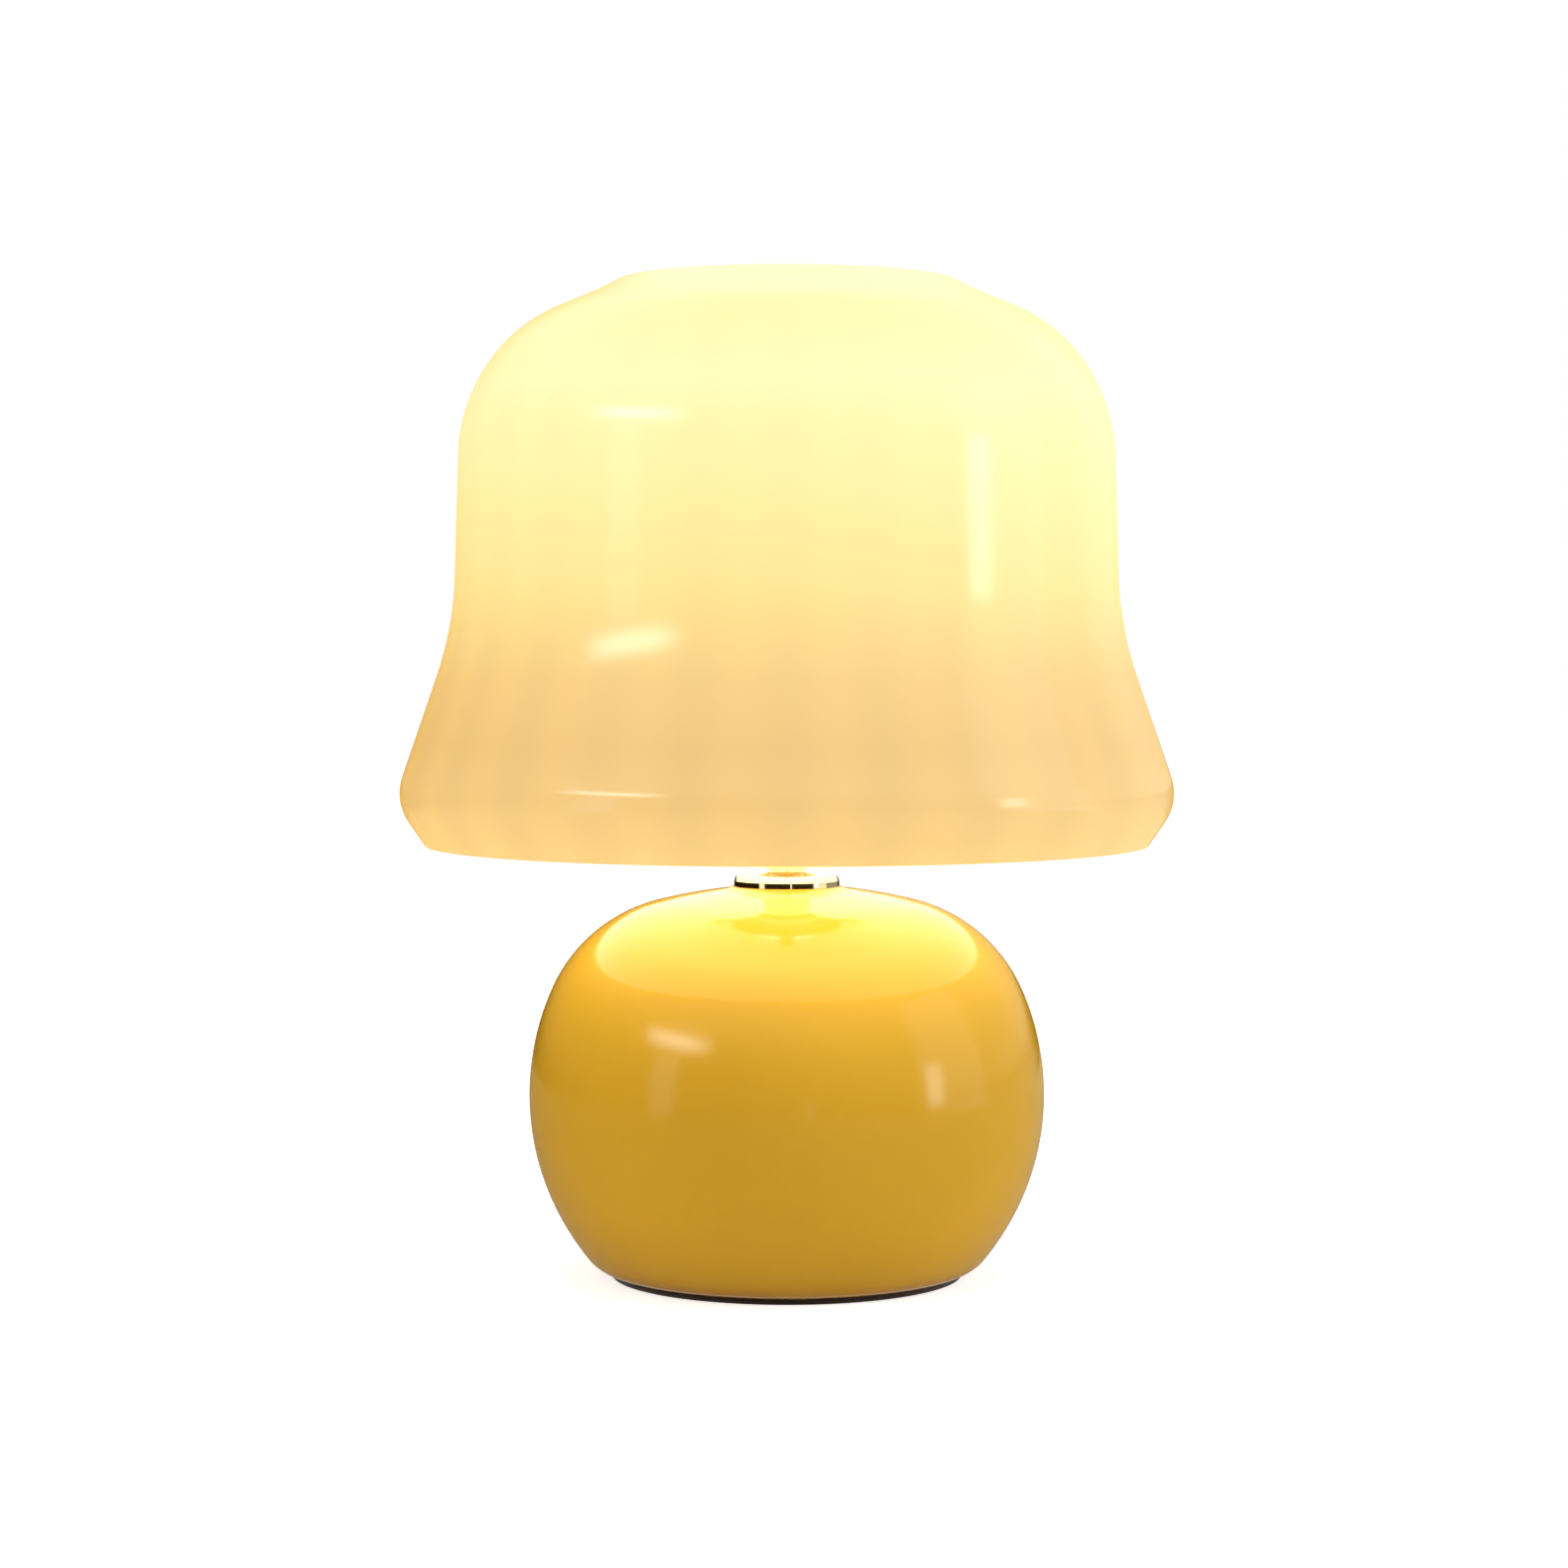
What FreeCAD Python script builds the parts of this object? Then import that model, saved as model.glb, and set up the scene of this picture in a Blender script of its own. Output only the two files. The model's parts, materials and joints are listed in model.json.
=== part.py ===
import FreeCAD, Part
import math
import os
import Sketcher
from FreeCAD import Placement, Rotation, Vector
from types import SimpleNamespace

# Mushroom table lamp: a hollow glazed ceramic base, a full-length threaded pipe that clamps it
# together, an E14 lampholder with its LED bulb, and a bell-shaped opal glass shade that rests on
# a three-armed carrier. Millimetres, +Z up. The origin lies on the lamp's axis, on the underside
# of the felt pad. The mains lead's inlet is at the back, on the +Y side.


# ---------------------------------------------------------------- driving sizes

sizes = {
    # felt pad and cover under the foot
    "felt_thick": 1.5,  # felt pad
    "felt_lap": 2.3,  # felt pad's edge outside the flat ring of the foot
    "foot_rim": 6.0,  # flat ring of the foot, outside the cover
    "cover_ledge": 3.0,  # ledge in the foot that the cover rests against
    "cover_thick": 2.0,  # fibreboard cover
    "part_gap": 0.3,  # clearance of loose fits and of parts that move
    "bore_gap": 0.05,  # clearance of parts threaded or slipped on the pipe and sleeve
    # ceramic base
    "equator_radius": 78.9,  # widest radius of the base
    "equator_height": 55.7,  # height of the widest place
    "heel_round": 12.7,  # rounding from the flat of the foot into the side
    "lower_arc": 78.5,  # radius of the side below the equator
    "upper_arc": 79.3,  # radius of the side above the equator
    "shoulder_arc": 47.4,  # radius of the base's shoulder
    "side_angle": 24.6,  # angle above the horizontal where the side meets the shoulder
    "crown_angle": 76.2,  # angle above the horizontal where the shoulder meets the dome
    "base_wall": 5.0,  # ceramic wall
    "floor_height": 14.0,  # underside of the ceramic floor
    "floor_thick": 5.0,  # ceramic floor
    "floor_hole": 30.0,  # radius of the hole in the ceramic floor
    "collar_radius": 17.2,  # raised collar under the brass cap
    "collar_rise": 0.5,  # collar above the dome at its edge
    # mains inlet bush in the back wall
    "inlet_clear": 8.4,  # inlet's axis at its nut's seat above the ceramic floor
    "inlet_bore": 3.6,  # bore radius of the inlet bush
    "inlet_shank": 5.0,  # radius of the bush's threaded shank, M10
    "inlet_flange": 7.5,  # flange radius of the bush
    "inlet_flange_thick": 2.0,  # flange of the bush
    "inlet_nut_thick": 3.0,  # nut of the bush
    # threaded pipe and what it clamps at the foot
    "pipe_radius": 5.0,  # M10x1 pipe
    "pipe_bore": 4.0,  # bore radius of the pipe
    "pipe_end": 0.7,  # pipe showing past its bottom nut
    "plate_radius": 40.0,  # steel clamping plate
    "plate_thick": 2.0,  # steel clamping plate
    "washer_radius": 10.0,  # washers on the pipe
    "washer_thick": 1.5,  # washers on the pipe
    "nut_corner": 8.1,  # corner radius of the M10 nuts
    "nut_thick": 4.5,  # bottom nut
    "slot_width": 6.0,  # window in the pipe for the leads
    "slot_length": 12.0,  # window in the pipe for the leads
    # terminal block on the plate
    "block_width": 16.0,  # terminal block, along X
    "block_depth": 12.0,  # terminal block, along Y
    "block_tall": 14.0,  # terminal block
    "block_front": 14.0,  # front of the terminal block from the axis
    "pole_spacing": 8.0,  # between the block's two poles
    "clamp_radius": 1.5,  # clamp screws of the block
    "lead_radius": 1.0,  # insulated lead
    "lead_spacing": 2.6,  # between the two leads inside the pipe
    "lead_height": 24.0,  # height of the leads between block and pipe
    "lead_straight": 2.0,  # leads come straight out of the block for this long
    "lead_gather": 7.0,  # leads have come together this far in front of the block
    "lead_curve": 0.45,  # share of a lead's straight run that a bend takes
    # brass cap and neck tube
    "cap_radius": 16.1,  # brass cap on the neck, a 32 mm cap
    "cap_band": 1.7,  # upright edge of the cap
    "cap_shoulder_radius": 13.0,  # where the cap's dome flattens
    "cap_shoulder_height": 5.3,  # where the cap's dome flattens
    "cap_height": 7.0,  # whole height of the cap
    "cap_round": 5.4,  # rounding of the cap above its band
    "cap_flat": 1.0,  # flat top of the cap around the tube
    "cap_wall": 1.0,  # spun brass
    "tube_radius": 8.0,  # brass tube over the pipe
    "tube_length": 24.6,  # brass tube over the pipe
    # lampholder
    "holder_radius": 13.5,  # outer radius of the lampholder
    "holder_wall": 2.0,  # wall of the lampholder's dome
    "dome_height": 20.0,  # lower dome of the lampholder
    "dome_floor": 3.0,  # bottom of the lower dome
    "dome_chamfer": 3.0,  # chamfer round the bottom of the lower dome
    "core_ledge": 1.5,  # ledge in the dome that carries the core
    "core_thick": 8.0,  # insulating core that carries the contacts
    "pipe_nut_thick": 3.0,  # thin nut that holds the dome on the pipe
    "pipe_show": 2.0,  # pipe showing above that nut
    "sleeve_height": 24.0,  # threaded sleeve of the lampholder
    "sleeve_wall": 3.6,  # threaded sleeve
    "sleeve_lip": 0.5,  # lip of the sleeve over the shell
    "edge_chamfer": 1.0,  # chamfers of the sleeve and of the shade rings
    "terminal_screw_radius": 1.3,  # screws of the lampholder's terminals
    "terminal_overhang": 0.6,  # heads of the terminal screws outside their shanks
    "terminal_share": 0.6,  # share of the core's depth that the terminal screws reach
    "contact_strip": 0.5,  # spring bronze strip
    "contact_width": 4.0,  # spring bronze strip
    "contact_tip": 1.0,  # flat end of the strip under the bulb
    "contact_rise": 4.0,  # height of the centre contact
    # E14 screw thread
    "thread_major": 6.945,  # crest radius of the E14 cap
    "thread_minor": 6.145,  # root radius of the E14 cap
    "thread_pitch": 2.822,  # E14 pitch
    "thread_gap": 0.25,  # clearance between cap and shell
    "shell_height": 21.0,  # E14 shell in the lampholder
    "shell_wall": 0.9,  # E14 shell outside its thread
    # bulb
    "button_radius": 2.4,  # centre contact of the bulb
    "button_thick": 1.2,  # centre contact of the bulb
    "button_cone": 0.8,  # cone of the contact, radially
    "button_rise": 0.6,  # cone of the contact, in height
    "insulator_edge": 0.4,  # insulator outside the contact
    "cap_tip": 0.6,  # chamfer where the bulb's thread begins
    "insulator_thick": 2.8,  # black glass insulator
    "screw_length": 13.0,  # threaded part of the bulb's cap
    "screw_rim": 2.0,  # plain rim over the thread
    "housing_height": 22.0,  # white housing of the bulb
    "housing_low": 8.0,  # radius of the housing at the cap
    "housing_neck": 4.5,  # straight lower part of the housing
    "housing_wall": 1.4,  # bulb housing
    "housing_rim": 2.0,  # upright rim of the housing
    "housing_step": 1.0,  # inside of the neck above the outside's bend
    "globe_radius": 22.5,  # opal globe of the bulb
    "globe_drop": 14.5,  # globe's centre above the housing
    "globe_wall": 1.2,  # opal globe
    "board_thick": 1.5,  # LED board
    # shade rings and carrier
    "ring_seat": 4.0,  # lower shade ring above the dome
    "ring_radius": 20.0,  # shade rings
    "ring_thick": 4.0,  # shade rings
    "hub_radius": 30.0,  # hub plate of the carrier
    "hub_thick": 2.0,  # hub plate of the carrier
    "arm_width": 8.0,  # flat steel arms
    "arm_thick": 1.5,  # flat steel arms
    "arm_foot": 22.0,  # inner end of the arms' feet from the axis
    "arm_bend": 6.0,  # outer bend radius of the arms
    "rivet_place": 26.0,  # rivets from the axis
    "rivet_radius": 1.5,  # rivets
    "rivet_head": 2.6,  # rivet heads
    "rivet_head_thick": 1.2,  # rivet heads
    "support_wide": 3.0,  # radial width of the carrier's top ring
    "support_tall": 4.0,  # height of the carrier's top ring
    "pad_thick": 3.7,  # silicone pad above the ring
    "pad_wall": 0.8,  # silicone pad beside the ring
    "pad_angle": 16.0,  # degrees that each pad takes
    "pad_play": 2.2,  # pads' edge inside the plateau's edge
    # opal glass shade: the corners of its outline before they are rounded, each from the last
    "glass_wall": 3.0,  # glass of the shade
    "mouth_clear": 13.4,  # rim of the mouth above the base's collar
    "hem_rise": 13.2,  # from the rim up to the hem's corner
    "flare_rise": 52.7,  # from the hem's corner up to the waist
    "side_rise": 65.4,  # from the waist up to the shoulder's lower corner
    "shoulder_rise": 25.1,  # from there up to the shoulder's upper corner
    "brow_rise": 11.0,  # from there up to the foot of the plateau
    "plateau_rise": 3.9,  # from there up to the flat top
    "plateau_radius": 51.0,  # flat top
    "plateau_out": 7.6,  # foot of the plateau outside its edge
    "brow_out": 25.9,  # shoulder's upper corner outside the foot of the plateau
    "shoulder_out": 15.0,  # shoulder's lower corner outside its upper one
    "waist_out": 2.0,  # waist outside the shoulder's lower corner
    "flare_out": 18.1,  # hem's corner outside the waist
    "mouth_in": 9.0,  # rim of the mouth inside the hem's corner
    "plateau_round": 3.6,  # rounding of the plateau's edge
    "kink_round": 2.5,  # hollow rounding at the foot of the plateau
    "brow_round": 47.5,  # rounding of the shoulder's upper corner
    "shoulder_round": 51.0,  # rounding of the shoulder's lower corner
    "waist_round": 102.0,  # hollow rounding where the flare begins
    "hem_round": 15.4,  # rounding of the hem
    # small parts
    "clamp_height": 4.0,  # height of a clamp screw
    "terminal_place": 5.5,  # lampholder's terminal screws from the axis
    "terminal_head": 1.6,  # heads of the terminal screws
    "grub_radius": 1.0,  # grub screw in the dome's floor
    "contact_reach": 5.4,  # foot of the centre contact from the axis
    "groove_turns": 6,  # turns of the shell's groove
    "ridge_turns": 4,  # turns of the bulb's thread
    "chip_ring": 10.0,  # LED chips from the axis
    "chip_length": 2.8,  # LED chip, radially
    "chip_width": 3.5,  # LED chip
    "chip_tall": 0.8,  # LED chip
    "driver_thick": 1.2,  # driver board
    "driver_play": 1.0,  # driver board narrower than the housing's neck
    "capacitor_radius": 2.6,  # capacitor on the driver board
    "capacitor_tall": 9.0,  # capacitor on the driver board
}


# ---------------------------------------------------------------- sheet

doc = FreeCAD.newDocument("mushroom_table_lamp")
sheet = doc.addObject("Spreadsheet::Sheet", "Sizes")


class Size:
    """A length: its value now, and the expression over the sheet that keeps it true."""

    def __init__(self, value, text):
        self.value = float(value)
        self.text = text

    def _join(self, sign, other, value, swapped=False):
        first, second = (other, self) if swapped else (self, other)
        return Size(value, f"({first.text} {sign} {second.text})")

    def __add__(self, other):
        other = as_size(other)
        return self._join("+", other, self.value + other.value)

    def __radd__(self, other):
        return as_size(other) + self

    def __sub__(self, other):
        other = as_size(other)
        return self._join("-", other, self.value - other.value)

    def __rsub__(self, other):
        return as_size(other) - self

    def __mul__(self, other):
        other = as_size(other)
        return self._join("*", other, self.value * other.value)

    def __rmul__(self, other):
        return as_size(other) * self

    def __truediv__(self, other):
        other = as_size(other)
        return self._join("/", other, self.value / other.value)

    def __neg__(self):
        return as_size(0) - self


def as_size(number):
    """A plain number as a Size; a Size stays as it is."""
    return number if isinstance(number, Size) else Size(number, f"{number:.6g}")


def root_of(size):
    return Size(math.sqrt(size.value), f"sqrt({size.text})")


def cosine(angle):
    return Size(math.cos(math.radians(angle.value)), f"cos({angle.text})")


def sine(angle):
    return Size(math.sin(math.radians(angle.value)), f"sin({angle.text})")


def arcsine(share):
    """The angle in degrees whose sine is the share."""
    return Size(math.degrees(math.asin(share.value)), f"asin({share.text}) / 1 deg")


rows_used = 0


def cell(alias, content, note):
    """Writes one row of the sheet: the name, the value or formula, and what it is."""
    global rows_used
    rows_used += 1
    sheet.set(f"A{rows_used}", alias)
    sheet.set(f"B{rows_used}", content)
    sheet.set(f"C{rows_used}", note)
    sheet.setAlias(f"B{rows_used}", alias)


def worked(alias, size, note):
    """A length worked out from others, kept as a formula in the sheet."""
    cell(alias, "=" + size.text.replace("Sizes.", ""), note)
    return Size(size.value, f"Sizes.{alias}")


def take(alias, value):
    """Puts a driving dimension into the sheet."""
    cell(alias, f"{value}", "")
    return Size(value, f"Sizes.{alias}")


given = SimpleNamespace(**{alias: take(alias, value) for alias, value in sizes.items()})

foot_height = given.felt_thick

# Five arcs make the outside: the heel, the sides below and above the equator, the shoulder, and
# the flat dome. The shoulder's centre lies where it touches both the upper side and the dome,
# the heel's where it touches both the lower side and the flat of the foot.
lower_cx = worked("lower_cx", given.equator_radius - given.lower_arc, "centre of the lower side")
upper_cx = worked("upper_cx", given.equator_radius - given.upper_arc, "centre of the upper side")
near = worked("near", given.upper_arc - given.shoulder_arc, "upper side's centre to the shoulder's")
shoulder_cx = worked("shoulder_cx", upper_cx + near * cosine(given.side_angle), "shoulder's centre")
shoulder_cz = worked(
    "shoulder_cz", given.equator_height + near * sine(given.side_angle), "shoulder's centre")
far = worked("far", shoulder_cx / cosine(given.crown_angle), "dome's centre to the shoulder's")
crown_cz = worked("crown_cz", shoulder_cz - far * sine(given.crown_angle), "centre of the dome")
crown_arc = worked("crown_arc", far + given.shoulder_arc, "radius of the flat dome")


def base_outline(inset, tag):
    """Where the base's arcs meet, and their radii, one inset inside the outer face."""
    side = worked(f"{tag}_side", given.upper_arc - inset, "radius of the upper side")
    crown = worked(f"{tag}_crown", crown_arc - inset, "radius of the dome")
    side_share = worked(f"{tag}_side_share", side / near, "out along the shoulder's centre line")
    crown_share = worked(f"{tag}_crown_share", crown / far, "out along the shoulder's centre line")
    return {
        "lower": worked(f"{tag}_lower", given.lower_arc - inset, "radius of the lower side"),
        "side": side,
        "shoulder": worked(f"{tag}_shoulder", given.shoulder_arc - inset, "radius of the shoulder"),
        "crown": crown,
        "equator": worked(f"{tag}_equator", given.equator_radius - inset, "widest radius"),
        "side_x": worked(
            f"{tag}_side_x", upper_cx + (shoulder_cx - upper_cx) * side_share,
            "side meets shoulder"),
        "side_z": worked(
            f"{tag}_side_z",
            given.equator_height + (shoulder_cz - given.equator_height) * side_share,
            "side meets shoulder"),
        "crown_x": worked(f"{tag}_crown_x", shoulder_cx * crown_share, "shoulder meets dome"),
        "crown_z": worked(
            f"{tag}_crown_z", crown_cz + (shoulder_cz - crown_cz) * crown_share,
            "shoulder meets dome"),
    }


def on_arc(radius, centre_x, rise):
    """How far out an arc lies at a height above or below its centre."""
    return centre_x + root_of(radius * radius - rise * rise)


def dome_at(radius, reach):
    """How high the dome of this radius lies at a distance from the axis."""
    return crown_cz + root_of(radius * radius - reach * reach)


out = base_outline(as_size(0), "outer")
inn = base_outline(given.base_wall, "inner")
heel_arm = worked("heel_arm", given.lower_arc - given.heel_round, "lower side's centre to the heel's")
heel_cz = worked("heel_cz", foot_height + given.heel_round, "centre of the heel")
foot_out = worked(
    "foot_out", on_arc(heel_arm, lower_cx, given.equator_height - heel_cz), "edge of the flat foot")
heel_share = worked("heel_share", given.lower_arc / heel_arm, "out along the heel's centre line")
heel_x = worked("heel_x", lower_cx + (foot_out - lower_cx) * heel_share, "heel meets lower side")
heel_z = worked(
    "heel_z", given.equator_height + (heel_cz - given.equator_height) * heel_share,
    "heel meets lower side")
floor_top = worked("floor_top", given.floor_height + given.floor_thick, "top of the ceramic floor")
floor_out = worked(
    "floor_out", on_arc(inn["lower"], lower_cx, given.equator_height - floor_top),
    "edge of the floor")
cover_radius = worked("cover_radius", foot_out - given.foot_rim, "recess for the cover")
felt_radius = worked("felt_radius", foot_out + given.felt_lap, "felt pad")
foot_recess = worked("foot_recess", cover_radius - given.cover_ledge, "recess inside the foot ring")
collar_foot = worked("collar_foot", dome_at(out["crown"], given.collar_radius), "foot of the collar")
neck_hole = worked("neck_hole", given.pipe_radius + 2 * given.part_gap, "hole for the pipe")
neck_under = worked("neck_under", dome_at(inn["crown"], neck_hole), "underside of the neck")
collar_height = worked("collar_height", collar_foot + given.collar_rise, "top of the collar")

# heights of the stack, each piece standing on the last
cover_top = worked("cover_top", foot_height + given.cover_thick, "top of the cover")
plate_low = worked("plate_low", given.floor_height - given.plate_thick, "underside of the plate")
washer_low = worked("washer_low", plate_low - given.washer_thick, "underside of the bottom washer")
nut_low = worked("nut_low", washer_low - given.nut_thick, "underside of the bottom nut")
pipe_low = worked("pipe_low", nut_low - given.pipe_end, "lower end of the pipe")
cap_top = worked("cap_top", collar_height + given.cap_height, "top of the cap")
tube_top = worked("tube_top", cap_top + given.tube_length, "top of the neck tube")
pipe_nut_low = worked("pipe_nut_low", tube_top + given.dome_floor, "nut inside the dome")
pipe_top = worked(
    "pipe_top", pipe_nut_low + given.pipe_nut_thick + given.pipe_show, "upper end of the pipe")
dome_top = worked("dome_top", tube_top + given.dome_height, "top of the lower dome")
core_low = worked("core_low", dome_top - given.core_thick, "underside of the core")
bulb_low = worked(
    "bulb_low", dome_top + given.contact_rise + given.part_gap, "centre contact of the bulb")
thread_low = worked(
    "thread_low", bulb_low + given.button_thick + given.insulator_thick,
    "start of the bulb's thread")
screw_top = worked(
    "screw_top", thread_low + given.screw_length + given.screw_rim, "top of the bulb's cap")
housing_top = worked("housing_top", screw_top + given.housing_height, "top of the housing")
globe_centre = worked("globe_centre", housing_top + given.globe_drop, "centre of the globe")
joint_radius = worked(
    "joint_radius",
    root_of(given.globe_radius * given.globe_radius - given.globe_drop * given.globe_drop),
    "globe's mouth")
globe_in = worked("globe_in", given.globe_radius - given.globe_wall, "inside of the globe")
globe_mouth = worked(
    "globe_mouth", root_of(globe_in * globe_in - given.globe_drop * given.globe_drop),
    "inside of the globe's mouth")
hub_low = worked(
    "hub_low", dome_top + given.ring_seat + given.ring_thick, "underside of the carrier's hub")
hub_top = worked("hub_top", hub_low + given.hub_thick, "top of the carrier's hub")
mouth_height = worked("mouth_height", collar_height + given.mouth_clear, "rim of the mouth")
hem_height = worked("hem_height", mouth_height + given.hem_rise, "hem's corner")
waist_height = worked("waist_height", hem_height + given.flare_rise, "waist")
side_height = worked("side_height", waist_height + given.side_rise, "shoulder's lower corner")
brow_height = worked("brow_height", side_height + given.shoulder_rise, "shoulder's upper corner")
kink_height = worked("kink_height", brow_height + given.brow_rise, "foot of the plateau")
shade_top = worked("shade_top", kink_height + given.plateau_rise, "flat top of the shade")
kink_radius = worked("kink_radius", given.plateau_radius + given.plateau_out, "foot of the plateau")
brow_radius = worked("brow_radius", kink_radius + given.brow_out, "shoulder's upper corner")
side_radius = worked("side_radius", brow_radius + given.shoulder_out, "shoulder's lower corner")
waist_radius = worked("waist_radius", side_radius + given.waist_out, "waist")
hem_radius = worked("hem_radius", waist_radius + given.flare_out, "hem's corner")
mouth_radius = worked("mouth_radius", hem_radius - given.mouth_in, "rim of the mouth")
ceiling = worked("ceiling", shade_top - given.glass_wall, "inside of the shade's flat top")
support_top = worked(
    "support_top", ceiling - given.part_gap - given.pad_thick, "top of the carrier's ring")
support_low = worked("support_low", support_top - given.support_tall, "underside of the carrier's ring")
pad_out = worked("pad_out", given.plateau_radius - given.pad_play, "outer edge of the pads")
support_out = worked("support_out", pad_out - given.pad_wall, "outer edge of the carrier's ring")
support_in = worked("support_in", support_out - given.support_wide, "inner edge of the carrier's ring")

doc.recompute()


# ---------------------------------------------------------------- drawing helpers

def bind(thing, path, size):
    thing.setExpression(path, as_size(size).text)


def raise_to(thing, height):
    """Stands a piece at a height on the lamp's axis."""
    bind(thing, ".Placement.Base.z", height)
    return thing


def arc_to(radius, side):
    """Marks the next stretch of an outline as an arc: side 1 bulges right of its way, -1 left."""
    return ("arc", as_size(radius), side)


def arc_geometry(start, end, radius, side):
    chord = end - start
    middle = (start + end) * 0.5
    half = chord.Length / 2
    sagitta = math.sqrt(max(radius * radius - half * half, 0.0))
    normal = Vector(-chord.y, chord.x, 0) / chord.Length
    centre = middle + normal * sagitta * side
    first = math.atan2(start.y - centre.y, start.x - centre.x)
    last = math.atan2(end.y - centre.y, end.x - centre.x)
    if side < 0:
        first, last = last, first
    circle = Part.Circle(centre, Vector(0, 0, 1), radius)
    return Part.ArcOfCircle(circle, first, last if last > first else last + 2 * math.pi)


def pin(sketch, geometry, end, x, y):
    """Holds one end of a line or arc at a place given by two sizes."""
    for kind, size in (("DistanceX", x), ("DistanceY", y)):
        size = as_size(size)
        number = sketch.addConstraint(Sketcher.Constraint(kind, -1, 1, geometry, end, size.value))
        if size.text.lstrip("-").replace(".", "").isdigit():
            continue
        sketch.setExpression(f"Constraints[{number}]", size.text)


def draw(sketch, outline):
    """Draws a closed outline: points (x, y), with arc_to() between two points that an arc joins."""
    points = [item for item in outline if item[0] != "arc"]
    arcs = {}
    count = 0
    for item in outline:
        if item[0] == "arc":
            arcs[count - 1] = item
        else:
            count += 1
    for index, here in enumerate(points):
        there = points[(index + 1) % len(points)]
        start = Vector(as_size(here[0]).value, as_size(here[1]).value, 0)
        end = Vector(as_size(there[0]).value, as_size(there[1]).value, 0)
        ends = (1, 2)
        if index in arcs:
            radius, side = arcs[index][1], arcs[index][2]
            number = sketch.addGeometry(arc_geometry(start, end, radius.value, side), False)
            bound = sketch.addConstraint(Sketcher.Constraint("Radius", number, radius.value))
            sketch.setExpression(f"Constraints[{bound}]", radius.text)
            if side < 0:
                ends = (2, 1)
        else:
            number = sketch.addGeometry(Part.LineSegment(start, end), False)
        pin(sketch, number, ends[0], here[0], here[1])
        pin(sketch, number, ends[1], there[0], there[1])


def plane(body, role):
    return next(item for item in body.Origin.OriginFeatures if item.Role == role)


def sketch_on(body, role, name):
    sketch = body.newObject("Sketcher::SketchObject", name)
    sketch.AttachmentSupport = [(plane(body, role), "")]
    sketch.MapMode = "FlatFace"
    return sketch


def turned(label, outline, angle=360.0):
    """A body turned about the lamp's axis from an outline of (radius, height) points."""
    body = doc.addObject("PartDesign::Body", label)
    body.Label = label
    sketch = sketch_on(body, "XZ_Plane", f"{label}_outline")
    draw(sketch, outline)
    solid = body.newObject("PartDesign::Revolution", f"{label}_turned")
    solid.Profile = sketch
    solid.ReferenceAxis = (sketch, ["V_Axis"])
    solid.Midplane = True
    if isinstance(angle, Size):
        bind(solid, "Angle", angle)
    else:
        solid.Angle = angle
    return body


def ring(label, outer, inner, thick):
    """A plain ring or washer that stands on z = 0."""
    return turned(label, [(inner, 0), (outer, 0), (outer, thick), (inner, thick)])


def disc(label, radius, thick):
    return turned(label, [(0, 0), (radius, 0), (radius, thick), (0, thick)])


def strip(label, outline, width):
    """A body cut from an outline in the XZ plane, its width centred on that plane."""
    body = doc.addObject("PartDesign::Body", label)
    body.Label = label
    sketch = sketch_on(body, "XZ_Plane", f"{label}_outline")
    draw(sketch, outline)
    solid = body.newObject("PartDesign::Pad", f"{label}_pad")
    solid.Profile = sketch
    solid.Midplane = True
    bind(solid, "Length", width)
    return body


def cylinder(name, radius, length):
    thing = doc.addObject("Part::Cylinder", name)
    bind(thing, "Radius", radius)
    bind(thing, "Height", length)
    return thing


def box(name, length, width, height):
    """A box centred on the Z axis that stands on z = 0."""
    thing = doc.addObject("Part::Box", name)
    bind(thing, "Length", length)
    bind(thing, "Width", width)
    bind(thing, "Height", height)
    bind(thing, ".Placement.Base.x", as_size(length) / -2)
    bind(thing, ".Placement.Base.y", as_size(width) / -2)
    return thing


def shift(thing, x=None, y=None, z=None):
    for axis, size in (("x", x), ("y", y), ("z", z)):
        if size is not None:
            bind(thing, f".Placement.Base.{axis}", size)
    return thing


def cut(label, base, *tools):
    """Cuts one or more tools out of a base."""
    tool = tools[0]
    if len(tools) > 1:
        tool = doc.addObject("Part::MultiFuse", f"{label}_tools")
        tool.Shapes = list(tools)
    piece = doc.addObject("Part::Cut", f"{label}_cut")
    piece.Base = base
    piece.Tool = tool
    piece.Label = label
    return piece


def join(label, *pieces):
    piece = doc.addObject("Part::MultiFuse", f"{label}_join")
    piece.Shapes = list(pieces)
    piece.Label = label
    return piece


def group(label, *pieces):
    """Like pieces kept as separate solids in one node."""
    piece = doc.addObject("Part::Compound", f"{label}_group")
    piece.Links = list(pieces)
    piece.Label = label
    return piece


def lay_along_y(thing, toward=-1):
    """Turns a piece so that its own Z axis points along +Y (toward -1) or -Y (1)."""
    thing.Placement = Placement(Vector(), Rotation(Vector(1, 0, 0), 90 * toward))
    return thing


parts = {}


def keep(piece):
    """Takes a finished piece into the set that is written out."""
    parts[piece.Label] = piece
    return piece


# ---------------------------------------------------------------- rounded outlines

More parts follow.
